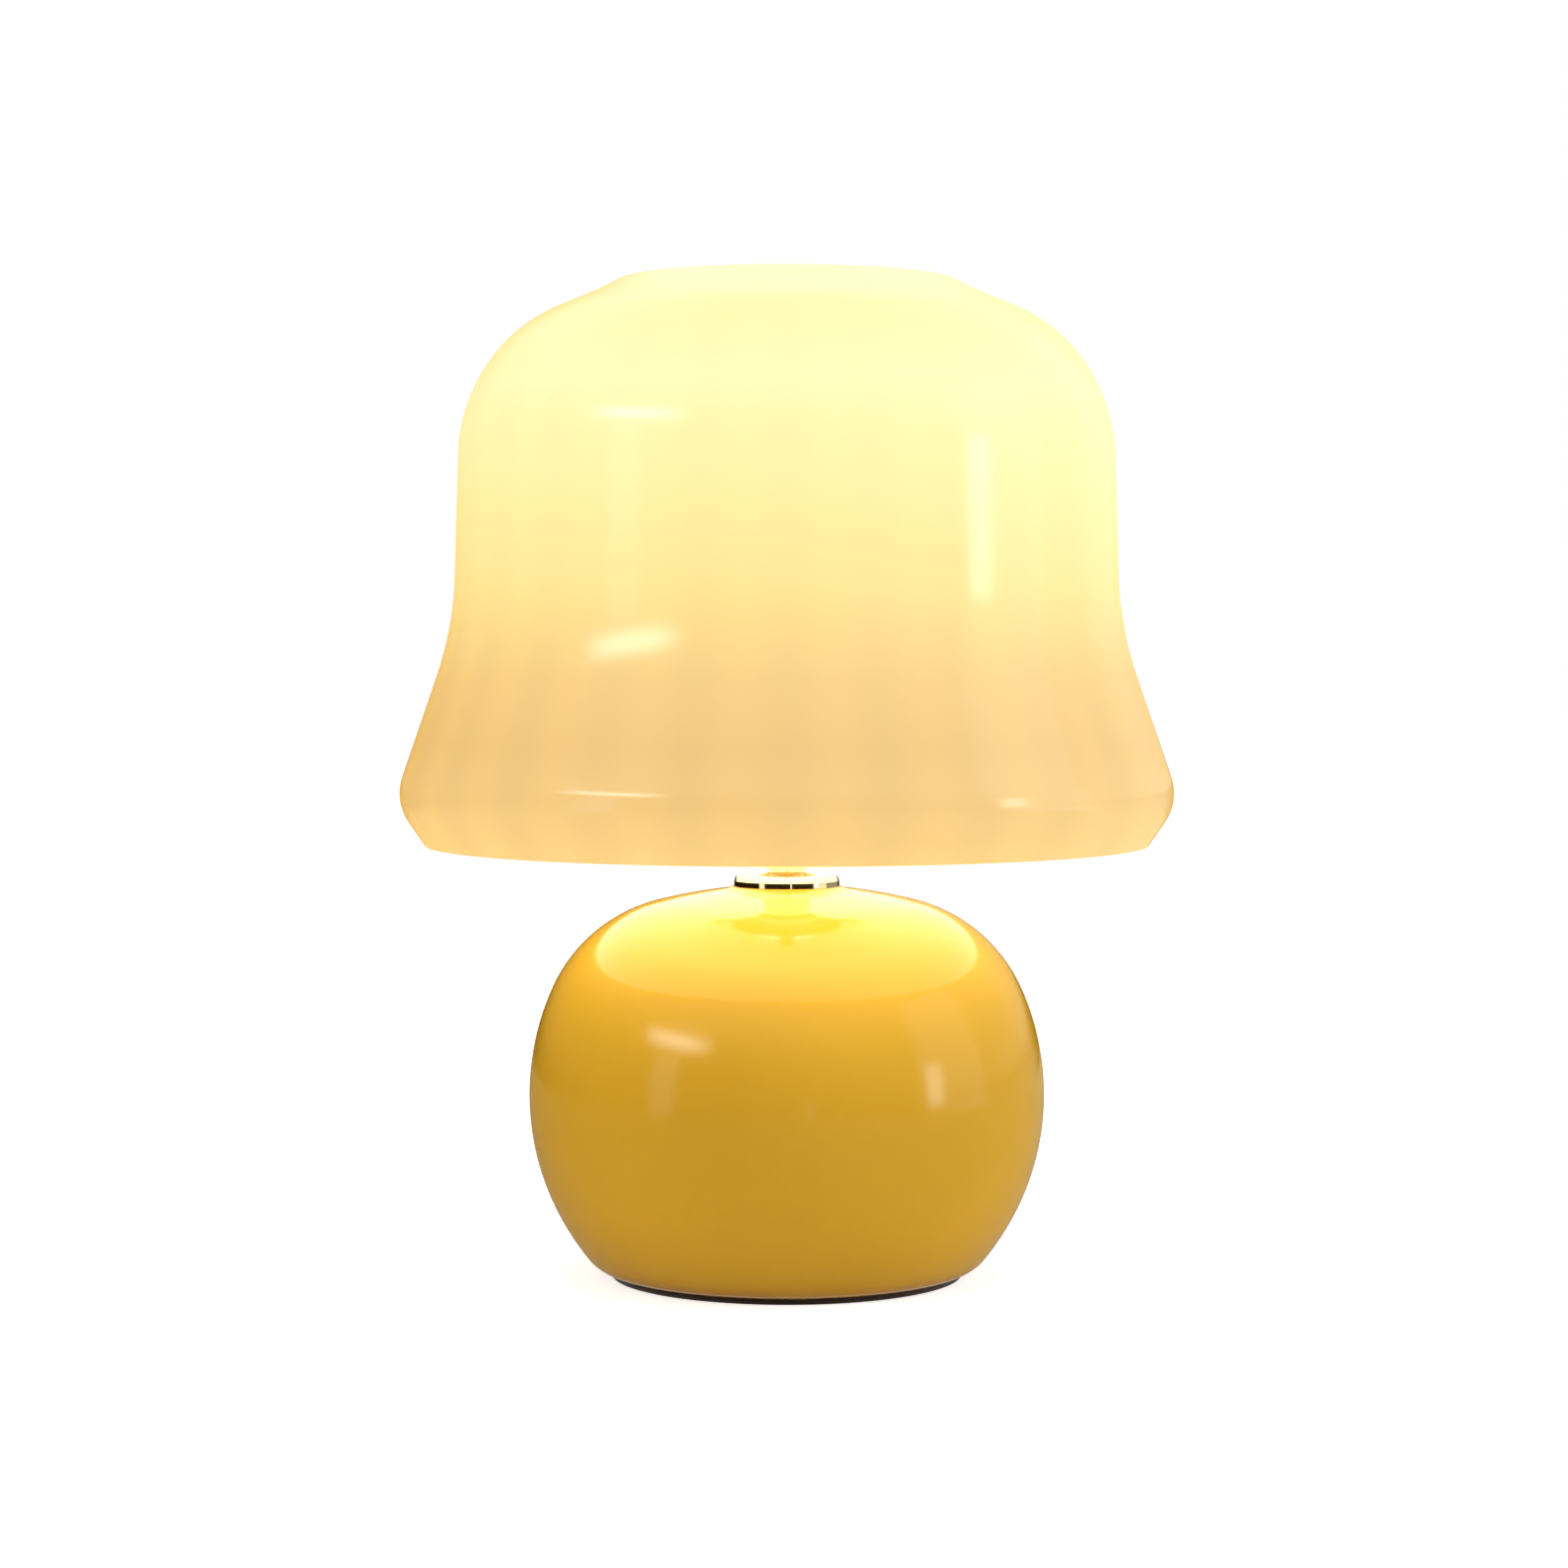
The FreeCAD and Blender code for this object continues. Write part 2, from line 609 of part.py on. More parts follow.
def rounded_chain(name, corners):
    """Points and arcs of an open outline through (x, y, radius) corners, ends left sharp.

    Each arc is tangent to the two straight runs beside it. The tangent points are
    formulas in the sheet.
    """
    result = [(corners[0][0], corners[0][1])]
    for number in range(1, len(corners) - 1):
        px, py, radius = corners[number]
        runs = []
        for other in (corners[number - 1], corners[number + 1]):
            dx, dy = as_size(other[0]) - px, as_size(other[1]) - py
            tag = f"{name}_{number}_{'ab'[len(runs)]}"
            length = worked(f"{tag}_run", root_of(dx * dx + dy * dy), "run beside a corner")
            runs.append((worked(f"{tag}_x", dx / length, "its direction"),
                         worked(f"{tag}_y", dy / length, "its direction")))
        (ax, ay), (bx, by) = runs
        fold = worked(f"{name}_{number}_fold", ax * bx + ay * by, "cosine of the corner's angle")
        tangent = worked(
            f"{name}_{number}_tangent", radius * root_of((1 + fold) / (1 - fold)),
            "corner to tangent point")
        side = 1 if (ax.value * by.value - ay.value * bx.value) < 0 else -1
        result.append((
            worked(f"{name}_{number}_sx", px + ax * tangent, "start of the rounding"),
            worked(f"{name}_{number}_sy", py + ay * tangent, "start of the rounding")))
        result.append(arc_to(radius, side))
        result.append((
            worked(f"{name}_{number}_ex", px + bx * tangent, "end of the rounding"),
            worked(f"{name}_{number}_ey", py + by * tangent, "end of the rounding")))
    result.append((corners[-1][0], corners[-1][1]))
    return result


def inner_corners(name, corners, wall):
    """The corners of a parallel outline, one wall to the right of the way along."""
    normals = []
    for number in range(len(corners) - 1):
        (x0, y0), (x1, y1) = corners[number][:2], corners[number + 1][:2]
        dx, dy = as_size(x1) - x0, as_size(y1) - y0
        length = worked(f"{name}_{number}_long", root_of(dx * dx + dy * dy), "run of the outline")
        normals.append((worked(f"{name}_{number}_nx", dy / length, "its normal"),
                        worked(f"{name}_{number}_ny", -dx / length, "its normal")))
    moved = []
    for number, corner in enumerate(corners):
        before = normals[max(number - 1, 0)]
        after = normals[min(number, len(normals) - 1)]
        spread = 1 + before[0] * after[0] + before[1] * after[1]
        x = worked(
            f"{name}_{number}_x", corner[0] + wall * (before[0] + after[0]) / spread, "inner corner")
        y = worked(
            f"{name}_{number}_y", corner[1] + wall * (before[1] + after[1]) / spread, "inner corner")
        moved.append([x, y])
        if len(corner) > 2:
            turn = before[0].value * after[1].value - before[1].value * after[0].value
            moved[-1].append(corner[2] - wall if turn < 0 else corner[2] + wall)
    return moved


# ---------------------------------------------------------------- foot

keep(disc("felt_pad", felt_radius, given.felt_thick))
keep(raise_to(disc("bottom_cover", cover_radius - given.part_gap, given.cover_thick), foot_height))


# ---------------------------------------------------------------- ceramic base

base_form = turned("base_form", [
    (cover_radius, foot_height),
    (foot_out, foot_height), arc_to(given.heel_round, 1),
    (heel_x, heel_z), arc_to(out["lower"], 1),
    (out["equator"], given.equator_height), arc_to(out["side"], 1),
    (out["side_x"], out["side_z"]), arc_to(out["shoulder"], 1),
    (out["crown_x"], out["crown_z"]), arc_to(out["crown"], 1),
    (given.collar_radius, collar_foot),
    (given.collar_radius, collar_height),
    (neck_hole, collar_height),
    (neck_hole, neck_under), arc_to(inn["crown"], -1),
    (inn["crown_x"], inn["crown_z"]), arc_to(inn["shoulder"], -1),
    (inn["side_x"], inn["side_z"]), arc_to(inn["side"], -1),
    (inn["equator"], given.equator_height), arc_to(inn["lower"], -1),
    (floor_out, floor_top),
    (given.floor_hole, floor_top),
    (given.floor_hole, given.floor_height),
    (foot_recess, given.floor_height),
    (foot_recess, cover_top),
    (cover_radius, cover_top),
])


# The inlet's axis runs square to the wall, from the lower side's centre outwards and down.
inlet_nut_face = worked(
    "inlet_nut_face",
    root_of(inn["lower"] * inn["lower"] - given.inlet_flange * given.inlet_flange),
    "seat of the bush's nut")
inlet_low = worked(
    "inlet_low", inlet_nut_face - given.inlet_nut_thick - given.pipe_end, "inner end of the bush")
inlet_share = worked(
    "inlet_share", (given.equator_height - floor_top - given.inlet_clear) / inlet_nut_face,
    "sine of the inlet's slope")
inlet_angle = worked("inlet_angle", arcsine(inlet_share), "slope of the inlet")


def inlet_frame(thing, reach):
    """Stands a piece on the inlet's axis, a reach out from the lower side's centre."""
    thing.Placement = Placement(Vector(), Rotation(Vector(-1, 0, 0), 90 + inlet_angle.value))
    bind(thing, ".Placement.Rotation.Angle", 90 + inlet_angle)
    bind(thing, ".Placement.Base.y", lower_cx + reach * cosine(inlet_angle))
    bind(thing, ".Placement.Base.z", given.equator_height - reach * sine(inlet_angle))
    return thing


inlet_hole = inlet_frame(
    cylinder("inlet_hole", given.inlet_shank + given.part_gap, 4 * given.base_wall), inlet_low)
keep(cut("base_body", base_form, inlet_hole))

inlet_reach = worked("inlet_reach", given.lower_arc - inlet_low, "bush under its flange")
keep(inlet_frame(turned("inlet_bush", [
    (given.inlet_bore, 0),
    (given.inlet_shank, 0),
    (given.inlet_shank, inlet_reach),
    (given.inlet_flange, inlet_reach),
    (given.inlet_flange, inlet_reach + given.inlet_flange_thick / 2),
    (given.inlet_flange - given.inlet_flange_thick / 2, inlet_reach + given.inlet_flange_thick),
    (given.inlet_bore, inlet_reach + given.inlet_flange_thick),
]), inlet_low))
keep(inlet_frame(
    ring("inlet_nut", given.inlet_flange, given.inlet_shank + given.bore_gap,
         given.inlet_nut_thick),
    inlet_nut_face - given.inlet_nut_thick))


# ---------------------------------------------------------------- pipe and its clamp

pipe_length = worked("pipe_length", pipe_top - pipe_low, "threaded pipe")
pipe_form = raise_to(ring("pipe_form", given.pipe_radius, given.pipe_bore, pipe_length), pipe_low)
pipe_slot = shift(
    box("pipe_slot", given.slot_width, 2 * given.pipe_radius, given.slot_length),
    y=as_size(0), z=given.lead_height - given.slot_length / 2)
keep(cut("threaded_pipe", pipe_form, pipe_slot))

on_pipe = given.pipe_radius + given.bore_gap
keep(raise_to(ring("clamp_plate", given.plate_radius, on_pipe, given.plate_thick), plate_low))
keep(raise_to(ring("bottom_washer", given.washer_radius, on_pipe, given.washer_thick), washer_low))


def hex_nut(label, thick, height):
    form = doc.addObject("Part::Prism", f"{label}_form")
    form.Polygon = 6
    bind(form, "Circumradius", given.nut_corner)
    bind(form, "Height", thick)
    return keep(raise_to(cut(label, form, cylinder(f"{label}_bore", on_pipe, thick)), height))


hex_nut("bottom_nut", given.nut_thick, nut_low)


# ---------------------------------------------------------------- terminal block and leads

wire_bore = given.lead_radius + given.part_gap
block_centre = worked(
    "block_centre", given.block_front + given.block_depth / 2,
    "middle of the block from the axis")
wire_rise = worked("wire_rise", given.lead_height - given.floor_height, "leads above the block's foot")
poles = []
for side, pole_name in ((-1, "left"), (1, "right")):
    wire_hole = lay_along_y(cylinder(f"wire_hole_{pole_name}", wire_bore, given.block_depth))
    shift(wire_hole, x=side * given.pole_spacing / 2, y=given.block_front, z=wire_rise)
    screw_hole = cylinder(f"screw_hole_{pole_name}", given.clamp_radius, given.block_tall)
    shift(screw_hole, x=side * given.pole_spacing / 2, y=block_centre, z=wire_rise)
    poles += [wire_hole, screw_hole]
block_screw_hole = shift(
    cylinder("block_screw_hole", given.clamp_radius, given.block_tall), y=block_centre)
block_form = shift(
    box("block_form", given.block_width, given.block_depth, given.block_tall),
    y=given.block_front)
keep(raise_to(cut("terminal_block", block_form, block_screw_hole, *poles), given.floor_height))

clamp_low = worked("clamp_low", given.lead_height + given.lead_radius, "tip of a clamp screw on its lead")
clamps = []
for side, pole_name in ((-1, "left"), (1, "right")):
    clamp = cylinder(f"clamp_{pole_name}", given.clamp_radius - given.bore_gap, given.clamp_height)
    clamps.append(shift(clamp, x=side * given.pole_spacing / 2, y=block_centre, z=clamp_low))
keep(group("clamp_screws", *clamps))
keep(shift(
    disc("block_screw", given.clamp_radius - given.bore_gap, given.block_tall),
    y=block_centre, z=given.floor_height))


def lead(label, side):
    """An insulated lead: out of the block, into the pipe's window, up the pipe, to its terminal."""
    far_x = side * given.pole_spacing.value / 2
    near_x = side * given.lead_spacing.value / 2
    height = given.lead_height.value
    top = core_low.value - given.terminal_head.value - given.lead_radius.value
    route = [
        Vector(far_x, block_centre.value + given.block_depth.value / 4, height),
        Vector(far_x, given.block_front.value - given.lead_straight.value, height),
        Vector(near_x, given.block_front.value - given.lead_gather.value, height),
        Vector(near_x, 0, height),
        Vector(near_x, 0, top),
        Vector(side * given.terminal_place.value, 0, top),
    ]
    edges = []
    here = route[0]
    for number in range(1, len(route) - 1):
        back = route[number - 1] - route[number]
        ahead = route[number + 1] - route[number]
        shorter = min(back.Length, ahead.Length)
        back.normalize()
        ahead.normalize()
        reach = given.lead_curve.value * shorter
        start, end = route[number] + back * reach, route[number] + ahead * reach
        half_turn = (math.pi - back.getAngle(ahead)) / 2
        radius = reach / math.tan(half_turn)
        middle = back + ahead
        middle.normalize()
        through = route[number] + middle * (radius / math.cos(half_turn) - radius)
        edges.append(Part.LineSegment(here, start).toShape())
        edges.append(Part.Arc(start, through, end).toShape())
        here = end
    edges.append(Part.LineSegment(here, route[-1]).toShape())
    path = Part.Wire(edges)
    face_edge = Part.Wire(
        [Part.Circle(route[0], route[1] - route[0], given.lead_radius.value).toShape()])
    piece = doc.addObject("Part::Feature", label)
    piece.Shape = path.makePipeShell([face_edge], True, False)
    piece.Label = label
    return keep(piece)


lead("lead_brown", -1)
lead("lead_blue", 1)


# ---------------------------------------------------------------- brass cap and neck tube

cap_flat_radius = worked("cap_flat_radius", given.tube_radius + given.cap_flat, "cap's flat top")
cap_in = worked("cap_in", given.cap_radius - given.cap_wall, "inside of the cap")
keep(raise_to(turned("neck_cap", [
    (cap_in, 0),
    (given.cap_radius, 0),
    (given.cap_radius, given.cap_band), arc_to(given.cap_round, 1),
    (given.cap_shoulder_radius, given.cap_shoulder_height),
    (cap_flat_radius, given.cap_height),
    (on_pipe, given.cap_height),
    (on_pipe, given.cap_height - given.cap_wall),
    (cap_flat_radius, given.cap_height - given.cap_wall),
    (given.cap_shoulder_radius - given.cap_wall / 2, given.cap_shoulder_height - given.cap_wall),
    (cap_in, given.cap_band - given.cap_wall / 2),
]), collar_height))
keep(raise_to(ring("neck_washer", given.washer_radius, on_pipe, given.washer_thick), collar_height))
keep(raise_to(
    ring("neck_tube", given.tube_radius, on_pipe + given.part_gap / 2, given.tube_length), cap_top))


# ---------------------------------------------------------------- lampholder

dome_in = worked("dome_in", given.holder_radius - given.holder_wall, "inside of the dome, over the ledge")
ledge_in = worked("ledge_in", dome_in - given.core_ledge, "inside of the dome, under the ledge")
dome_foot = worked(
    "dome_foot", given.holder_radius - given.dome_chamfer, "flat underside of the dome")
ledge_height = worked("ledge_height", given.dome_height - given.core_thick, "ledge that carries the core")
dome_form = turned("dome_form", [
    (on_pipe, 0),
    (dome_foot, 0),
    (given.holder_radius, given.dome_chamfer),
    (given.holder_radius, given.dome_height),
    (dome_in, given.dome_height),
    (dome_in, ledge_height),
    (ledge_in, ledge_height),
    (ledge_in, given.dome_floor),
    (on_pipe, given.dome_floor),
])
grub_hole = lay_along_y(
    cylinder("grub_hole", given.grub_radius + given.bore_gap, given.holder_radius))
shift(grub_hole, z=given.dome_floor / 2)
keep(raise_to(cut("holder_dome", dome_form, grub_hole), tube_top))
grub_length = worked("grub_length", dome_foot - on_pipe, "grub screw")
grub = lay_along_y(disc("grub_screw", given.grub_radius, grub_length))
keep(shift(grub, y=on_pipe, z=tube_top + given.dome_floor / 2))
hex_nut("pipe_nut", given.pipe_nut_thick, pipe_nut_low)

core_form = disc("core_form", dome_in - given.part_gap / 2, given.core_thick)
core_holes = []
holder_screws = []
screw_depth = worked(
    "screw_depth", given.core_thick * given.terminal_share, "terminal screws in the core")
head_radius = worked(
    "head_radius", given.terminal_screw_radius + given.terminal_overhang,
    "heads of the terminal screws")
for side, pole_name in ((-1, "left"), (1, "right")):
    hole = cylinder(
        f"core_hole_{pole_name}", given.terminal_screw_radius + given.bore_gap, screw_depth)
    core_holes.append(shift(hole, x=side * given.terminal_place))
    screw = turned(f"holder_screw_{pole_name}", [
        (0, 0),
        (head_radius, 0),
        (head_radius, given.terminal_head),
        (given.terminal_screw_radius, given.terminal_head),
        (given.terminal_screw_radius, given.terminal_head + screw_depth),
        (0, given.terminal_head + screw_depth),
    ])
    holder_screws.append(
        shift(screw, x=side * given.terminal_place, z=core_low - given.terminal_head))
keep(raise_to(cut("holder_core", core_form, *core_holes), core_low))
keep(group("terminal_screws", *holder_screws))

contact_end = worked(
    "contact_end", -2 * given.contact_strip - given.contact_tip, "free end of the strip")
keep(raise_to(strip("centre_contact", [
    (given.contact_reach, 0),
    (given.contact_reach, given.contact_strip),
    (given.contact_reach / 2, given.contact_strip),
    (-given.contact_strip, given.contact_rise),
    (contact_end, given.contact_rise),
    (contact_end, given.contact_rise - given.contact_strip),
    (-1.2 * given.contact_strip, given.contact_rise - given.contact_strip),
    (given.contact_reach / 2 - given.contact_strip, 0),
], given.contact_width), dome_top))

shell_out = worked(
    "shell_out", given.thread_major + given.thread_gap + given.shell_wall,
    "outside of the E14 shell")
sleeve_in = worked("sleeve_in", given.holder_radius - given.sleeve_wall, "bore of the sleeve")
lip_low = worked("lip_low", given.shell_height + given.sleeve_lip, "lip of the sleeve")
keep(raise_to(turned("holder_sleeve", [
    (shell_out + given.part_gap, 0),
    (given.holder_radius, 0),
    (given.holder_radius, given.sleeve_height - given.edge_chamfer),
    (given.holder_radius - given.edge_chamfer, given.sleeve_height),
    (sleeve_in, given.sleeve_height),
    (sleeve_in, lip_low),
    (shell_out + given.part_gap, lip_low),
]), dome_top))


# ---------------------------------------------------------------- E14 thread

def thread_ridge(name, radius, start, turns):
    """A round ridge wound about the axis at the thread's root radius."""
    helix = doc.addObject("Part::Helix", f"{name}_helix")
    bind(helix, "Pitch", given.thread_pitch)
    bind(helix, "Height", given.thread_pitch * turns)
    bind(helix, "Radius", given.thread_minor)
    bind(helix, ".Placement.Base.z", start)
    section = doc.addObject("Part::Circle", f"{name}_section")
    bind(section, "Radius", radius)
    section.Placement = Placement(Vector(), Rotation(Vector(1, 0, 0), 90))
    bind(section, ".Placement.Base.x", given.thread_minor)
    bind(section, ".Placement.Base.z", start)
    sweep = doc.addObject("Part::Sweep", f"{name}_sweep")
    sweep.Sections = [section]
    sweep.Spine = (helix, [])
    sweep.Solid = True
    sweep.Frenet = True
    return sweep


ridge = worked("ridge", given.thread_major - given.thread_minor, "height of the thread's ridge")
shell_form = raise_to(cylinder("shell_form", shell_out, given.shell_height), dome_top)
shell_bore = raise_to(
    cylinder("shell_bore", given.thread_minor + given.thread_gap, given.shell_height), dome_top)
groove_low = worked(
    "groove_low", thread_low + ridge - given.thread_pitch, "start of the shell's groove")
groove = thread_ridge("groove", ridge + given.thread_gap, groove_low, given.groove_turns)
keep(cut("thread_shell", cut("shell_tube", shell_form, shell_bore), groove))


# ---------------------------------------------------------------- bulb

keep(raise_to(turned("bulb_contact", [
    (0, 0),
    (given.button_radius - given.button_cone, 0),
    (given.button_radius, given.button_rise),
    (given.button_radius, given.button_thick),
    (0, given.button_thick),
]), bulb_low))
keep(raise_to(turned("bulb_insulator", [
    (0, 0),
    (given.button_radius + given.insulator_edge, 0),
    (given.thread_minor - given.cap_tip, given.insulator_thick),
    (0, given.insulator_thick),
]), bulb_low + given.button_thick))
cap_form = raise_to(turned("cap_form", [
    (0, 0),
    (given.thread_minor - given.cap_tip, 0),
    (given.thread_minor, given.cap_tip),
    (given.thread_minor, given.screw_length),
    (given.thread_major, given.screw_length),
    (given.thread_major, given.screw_length + given.screw_rim),
    (0, given.screw_length + given.screw_rim),
]), thread_low)
ridge_low = worked("ridge_low", thread_low + ridge, "start of the bulb's thread")
keep(join("bulb_cap", cap_form, thread_ridge("cap_thread", ridge, ridge_low, given.ridge_turns)))

housing_in = worked(
    "housing_in", joint_radius - given.housing_wall, "inside of the housing at the globe")
housing_bore = worked(
    "housing_bore", given.housing_low - given.housing_wall, "inside of the housing's neck")
rim_low = worked("rim_low", given.housing_height - given.housing_rim, "foot of the housing's rim")
keep(raise_to(turned("bulb_housing", [
    (0, 0),
    (given.housing_low, 0),
    (given.housing_low, given.housing_neck),
    (joint_radius, rim_low),
    (joint_radius, given.housing_height),
    (housing_in, given.housing_height),
    (housing_in, rim_low),
    (housing_bore, given.housing_neck + given.housing_step),
    (housing_bore, given.housing_wall),
    (0, given.housing_wall),
]), screw_top))
keep(raise_to(turned("bulb_globe", [
    (joint_radius, -given.globe_drop), arc_to(given.globe_radius, 1),
    (given.globe_radius, 0), arc_to(given.globe_radius, 1),
    (0, given.globe_radius),
    (0, globe_in), arc_to(globe_in, -1),
    (globe_in, 0), arc_to(globe_in, -1),
    (globe_mouth, -given.globe_drop),
]), globe_centre))
board_radius = worked("board_radius", housing_in - given.part_gap, "LED board")
board_low = worked("board_low", housing_top - given.board_thick, "underside of the LED board")
keep(raise_to(disc("led_board", board_radius, given.board_thick), board_low))
chip_count = 8
chips = []
for number in range(chip_count):
    chip = doc.addObject("Part::Box", f"chip_{number + 1}")
    bind(chip, "Length", given.chip_length)
    bind(chip, "Width", given.chip_width)
    bind(chip, "Height", given.chip_tall)
    turn = 360 * number / chip_count
    chip.Placement = Placement(Vector(), Rotation(Vector(0, 0, 1), turn))
    bind(chip, ".Placement.Base.x", given.chip_ring * math.cos(math.radians(turn)))
    bind(chip, ".Placement.Base.y", given.chip_ring * math.sin(math.radians(turn)))
    bind(chip, ".Placement.Base.z", housing_top)
    chips.append(chip)
keep(group("led_chips", *chips))
driver_low = worked("driver_low", screw_top + given.housing_wall, "foot of the driver board")
driver_width = worked(
    "driver_width", 2 * (housing_bore - given.part_gap) - given.driver_play, "driver board")
driver_tall = worked("driver_tall", board_low - driver_low, "driver board")
keep(shift(box("driver_board", driver_width, given.driver_thick, driver_tall), z=driver_low))
keep(shift(
    disc("driver_capacitor", given.capacitor_radius, given.capacitor_tall),
    y=given.driver_thick / 2 + given.capacitor_radius, z=driver_low))


# ---------------------------------------------------------------- shade rings and carrier

on_sleeve = given.holder_radius + given.bore_gap


def shade_ring(label, height):
    return keep(raise_to(turned(label, [
        (on_sleeve, 0),
        (given.ring_radius - given.edge_chamfer, 0),
        (given.ring_radius, given.edge_chamfer),
        (given.ring_radius, given.ring_thick - given.edge_chamfer),
        (given.ring_radius - given.edge_chamfer, given.ring_thick),
        (on_sleeve, given.ring_thick),
    ]), height))


shade_ring("lower_shade_ring", dome_top + given.ring_seat)
shade_ring("upper_shade_ring", hub_top)

hub_form = ring("hub_form", given.hub_radius, on_sleeve + given.part_gap, given.hub_thick)
arm_count = 3
arm_tall = worked("arm_tall", support_low - hub_top, "arms, from the hub to the ring")
arm_in = worked("arm_in", support_out - given.arm_thick, "inner face of an arm")
rivet_seat = worked("rivet_seat", given.hub_thick + given.arm_thick, "upper face that a rivet holds")
hub_holes = []
rivets = []
for number in range(arm_count):
    turn = 360 * number / arm_count - 90
    name = f"carrier_arm_{number + 1}"
    away_x = given.rivet_place * math.cos(math.radians(turn))
    away_y = given.rivet_place * math.sin(math.radians(turn))
    hole = cylinder(f"hub_hole_{number + 1}", given.rivet_radius, given.hub_thick)
    hub_holes.append(shift(hole, x=away_x, y=away_y))
    arm_form = strip(f"{name}_form", [
        (given.arm_foot, 0),
        (support_out - given.arm_bend, 0), arc_to(given.arm_bend, 1),
        (support_out, given.arm_bend),
        (support_out, arm_tall),
        (arm_in, arm_tall),
        (arm_in, given.arm_bend), arc_to(given.arm_bend - given.arm_thick, -1),
        (support_out - given.arm_bend, given.arm_thick),
        (given.arm_foot, given.arm_thick),
    ], given.arm_width)
    arm_hole = cylinder(f"{name}_hole", given.rivet_radius, given.arm_thick)
    shift(arm_hole, x=given.rivet_place)
    arm = cut(name, arm_form, arm_hole)
    arm.Placement = Placement(Vector(), Rotation(Vector(0, 0, 1), turn))
    keep(raise_to(arm, hub_top))
    rivet = turned(f"rivet_{number + 1}", [
        (0, -given.rivet_head_thick),
        (given.rivet_head, -given.rivet_head_thick),
        (given.rivet_head, 0),
        (given.rivet_radius, 0),
        (given.rivet_radius, rivet_seat),
        (given.rivet_head, rivet_seat),
        (given.rivet_head - given.rivet_head_thick, rivet_seat + given.rivet_head_thick),
        (0, rivet_seat + given.rivet_head_thick),
    ])
    rivets.append(shift(rivet, x=away_x, y=away_y, z=hub_low))
keep(raise_to(cut("carrier_hub", hub_form, *hub_holes), hub_low))
keep(group("arm_rivets", *rivets))
keep(raise_to(ring("carrier_ring", support_out, support_in, given.support_tall), support_low))
for number in range(arm_count):
    saddle = turned(f"carrier_pad_{number + 1}", [
        (support_in - given.pad_wall, -given.support_tall / 2),
        (support_in, -given.support_tall / 2),
        (support_in, 0),
        (support_out, 0),
        (support_out, -given.support_tall / 2),
        (pad_out, -given.support_tall / 2),
        (pad_out, given.pad_thick),
        (support_in - given.pad_wall, given.pad_thick),
    ], given.pad_angle)
    turn = 360 * number / arm_count - 90
    saddle.Placement = Placement(Vector(), Rotation(Vector(0, 0, 1), turn))
    keep(raise_to(saddle, support_top))


# ---------------------------------------------------------------- glass shade

glass_corners = [
    (as_size(0), shade_top),
    (given.plateau_radius, shade_top, given.plateau_round),
    (kink_radius, kink_height, given.kink_round),
    (brow_radius, brow_height, given.brow_round),
    (side_radius, side_height, given.shoulder_round),
    (waist_radius, waist_height, given.waist_round),
    (hem_radius, hem_height, given.hem_round),
    (mouth_radius, mouth_height),
]
glass_inside = inner_corners("glass", glass_corners, given.glass_wall)
outside = rounded_chain("outside", glass_corners)
inside = rounded_chain("inside", glass_inside)


def backwards(outline):
    """The same outline walked the other way, its arcs still bulging the same way."""
    flipped = []
    for item in reversed(outline):
        flipped.append((item[0], item[1], -item[2]) if item[0] == "arc" else item)
    return flipped


rim_round = arc_to(given.glass_wall / 2, -1)
keep(turned("shade_glass", outside + [rim_round] + backwards(inside)))


# ---------------------------------------------------------------- check and write

doc.recompute()
faults = []
for thing in doc.Objects:
    if {"Invalid", "Error"} & set(thing.State):
        faults.append(f"{thing.Name}: {thing.State}")
for label, piece in parts.items():
    if piece.Shape.isNull() or not piece.Shape.isValid() or not piece.Shape.Solids:
        faults.append(f"{label}: no valid solid")
if faults:
    raise RuntimeError("\n".join(faults))
os.makedirs("parts", exist_ok=True)
for label, piece in parts.items():
    piece.Shape.exportStep(f"parts/{label}.step")
    bounds = piece.Shape.optimalBoundingBox()
    print(f"{label:18s} {len(piece.Shape.Solids)} solid  r/x {bounds.XMin:7.2f} {bounds.XMax:7.2f}"
          f"  y {bounds.YMin:7.2f} {bounds.YMax:7.2f}  z {bounds.ZMin:7.2f} {bounds.ZMax:7.2f}")
print(len(parts), "nodes")
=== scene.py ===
"""Looks of the mushroom table lamp: glazed ceramic base, brass neck, lit opal glass shade."""

import json
import math

import bmesh
import bpy
from bpy.props import FloatProperty, FloatVectorProperty, IntProperty, PointerProperty
from mathutils import Matrix, Vector


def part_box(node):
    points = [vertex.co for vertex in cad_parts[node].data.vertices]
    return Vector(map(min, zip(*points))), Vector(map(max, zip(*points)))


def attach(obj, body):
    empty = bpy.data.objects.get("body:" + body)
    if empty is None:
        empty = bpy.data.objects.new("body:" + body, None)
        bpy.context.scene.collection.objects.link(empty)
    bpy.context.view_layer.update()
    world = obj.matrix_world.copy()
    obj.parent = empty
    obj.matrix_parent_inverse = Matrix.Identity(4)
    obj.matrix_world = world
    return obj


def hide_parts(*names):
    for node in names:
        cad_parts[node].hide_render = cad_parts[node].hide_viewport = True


bl_info = {
    "name": "Mushroom Table Lamp",
    "version": (1, 0, 0),
    "blender": (4, 5, 0),
    "location": "View3D > Sidebar > Lamp",
    "description": "Makes the looks of a mushroom table lamp around its packed frame",
    "category": "Object",
}

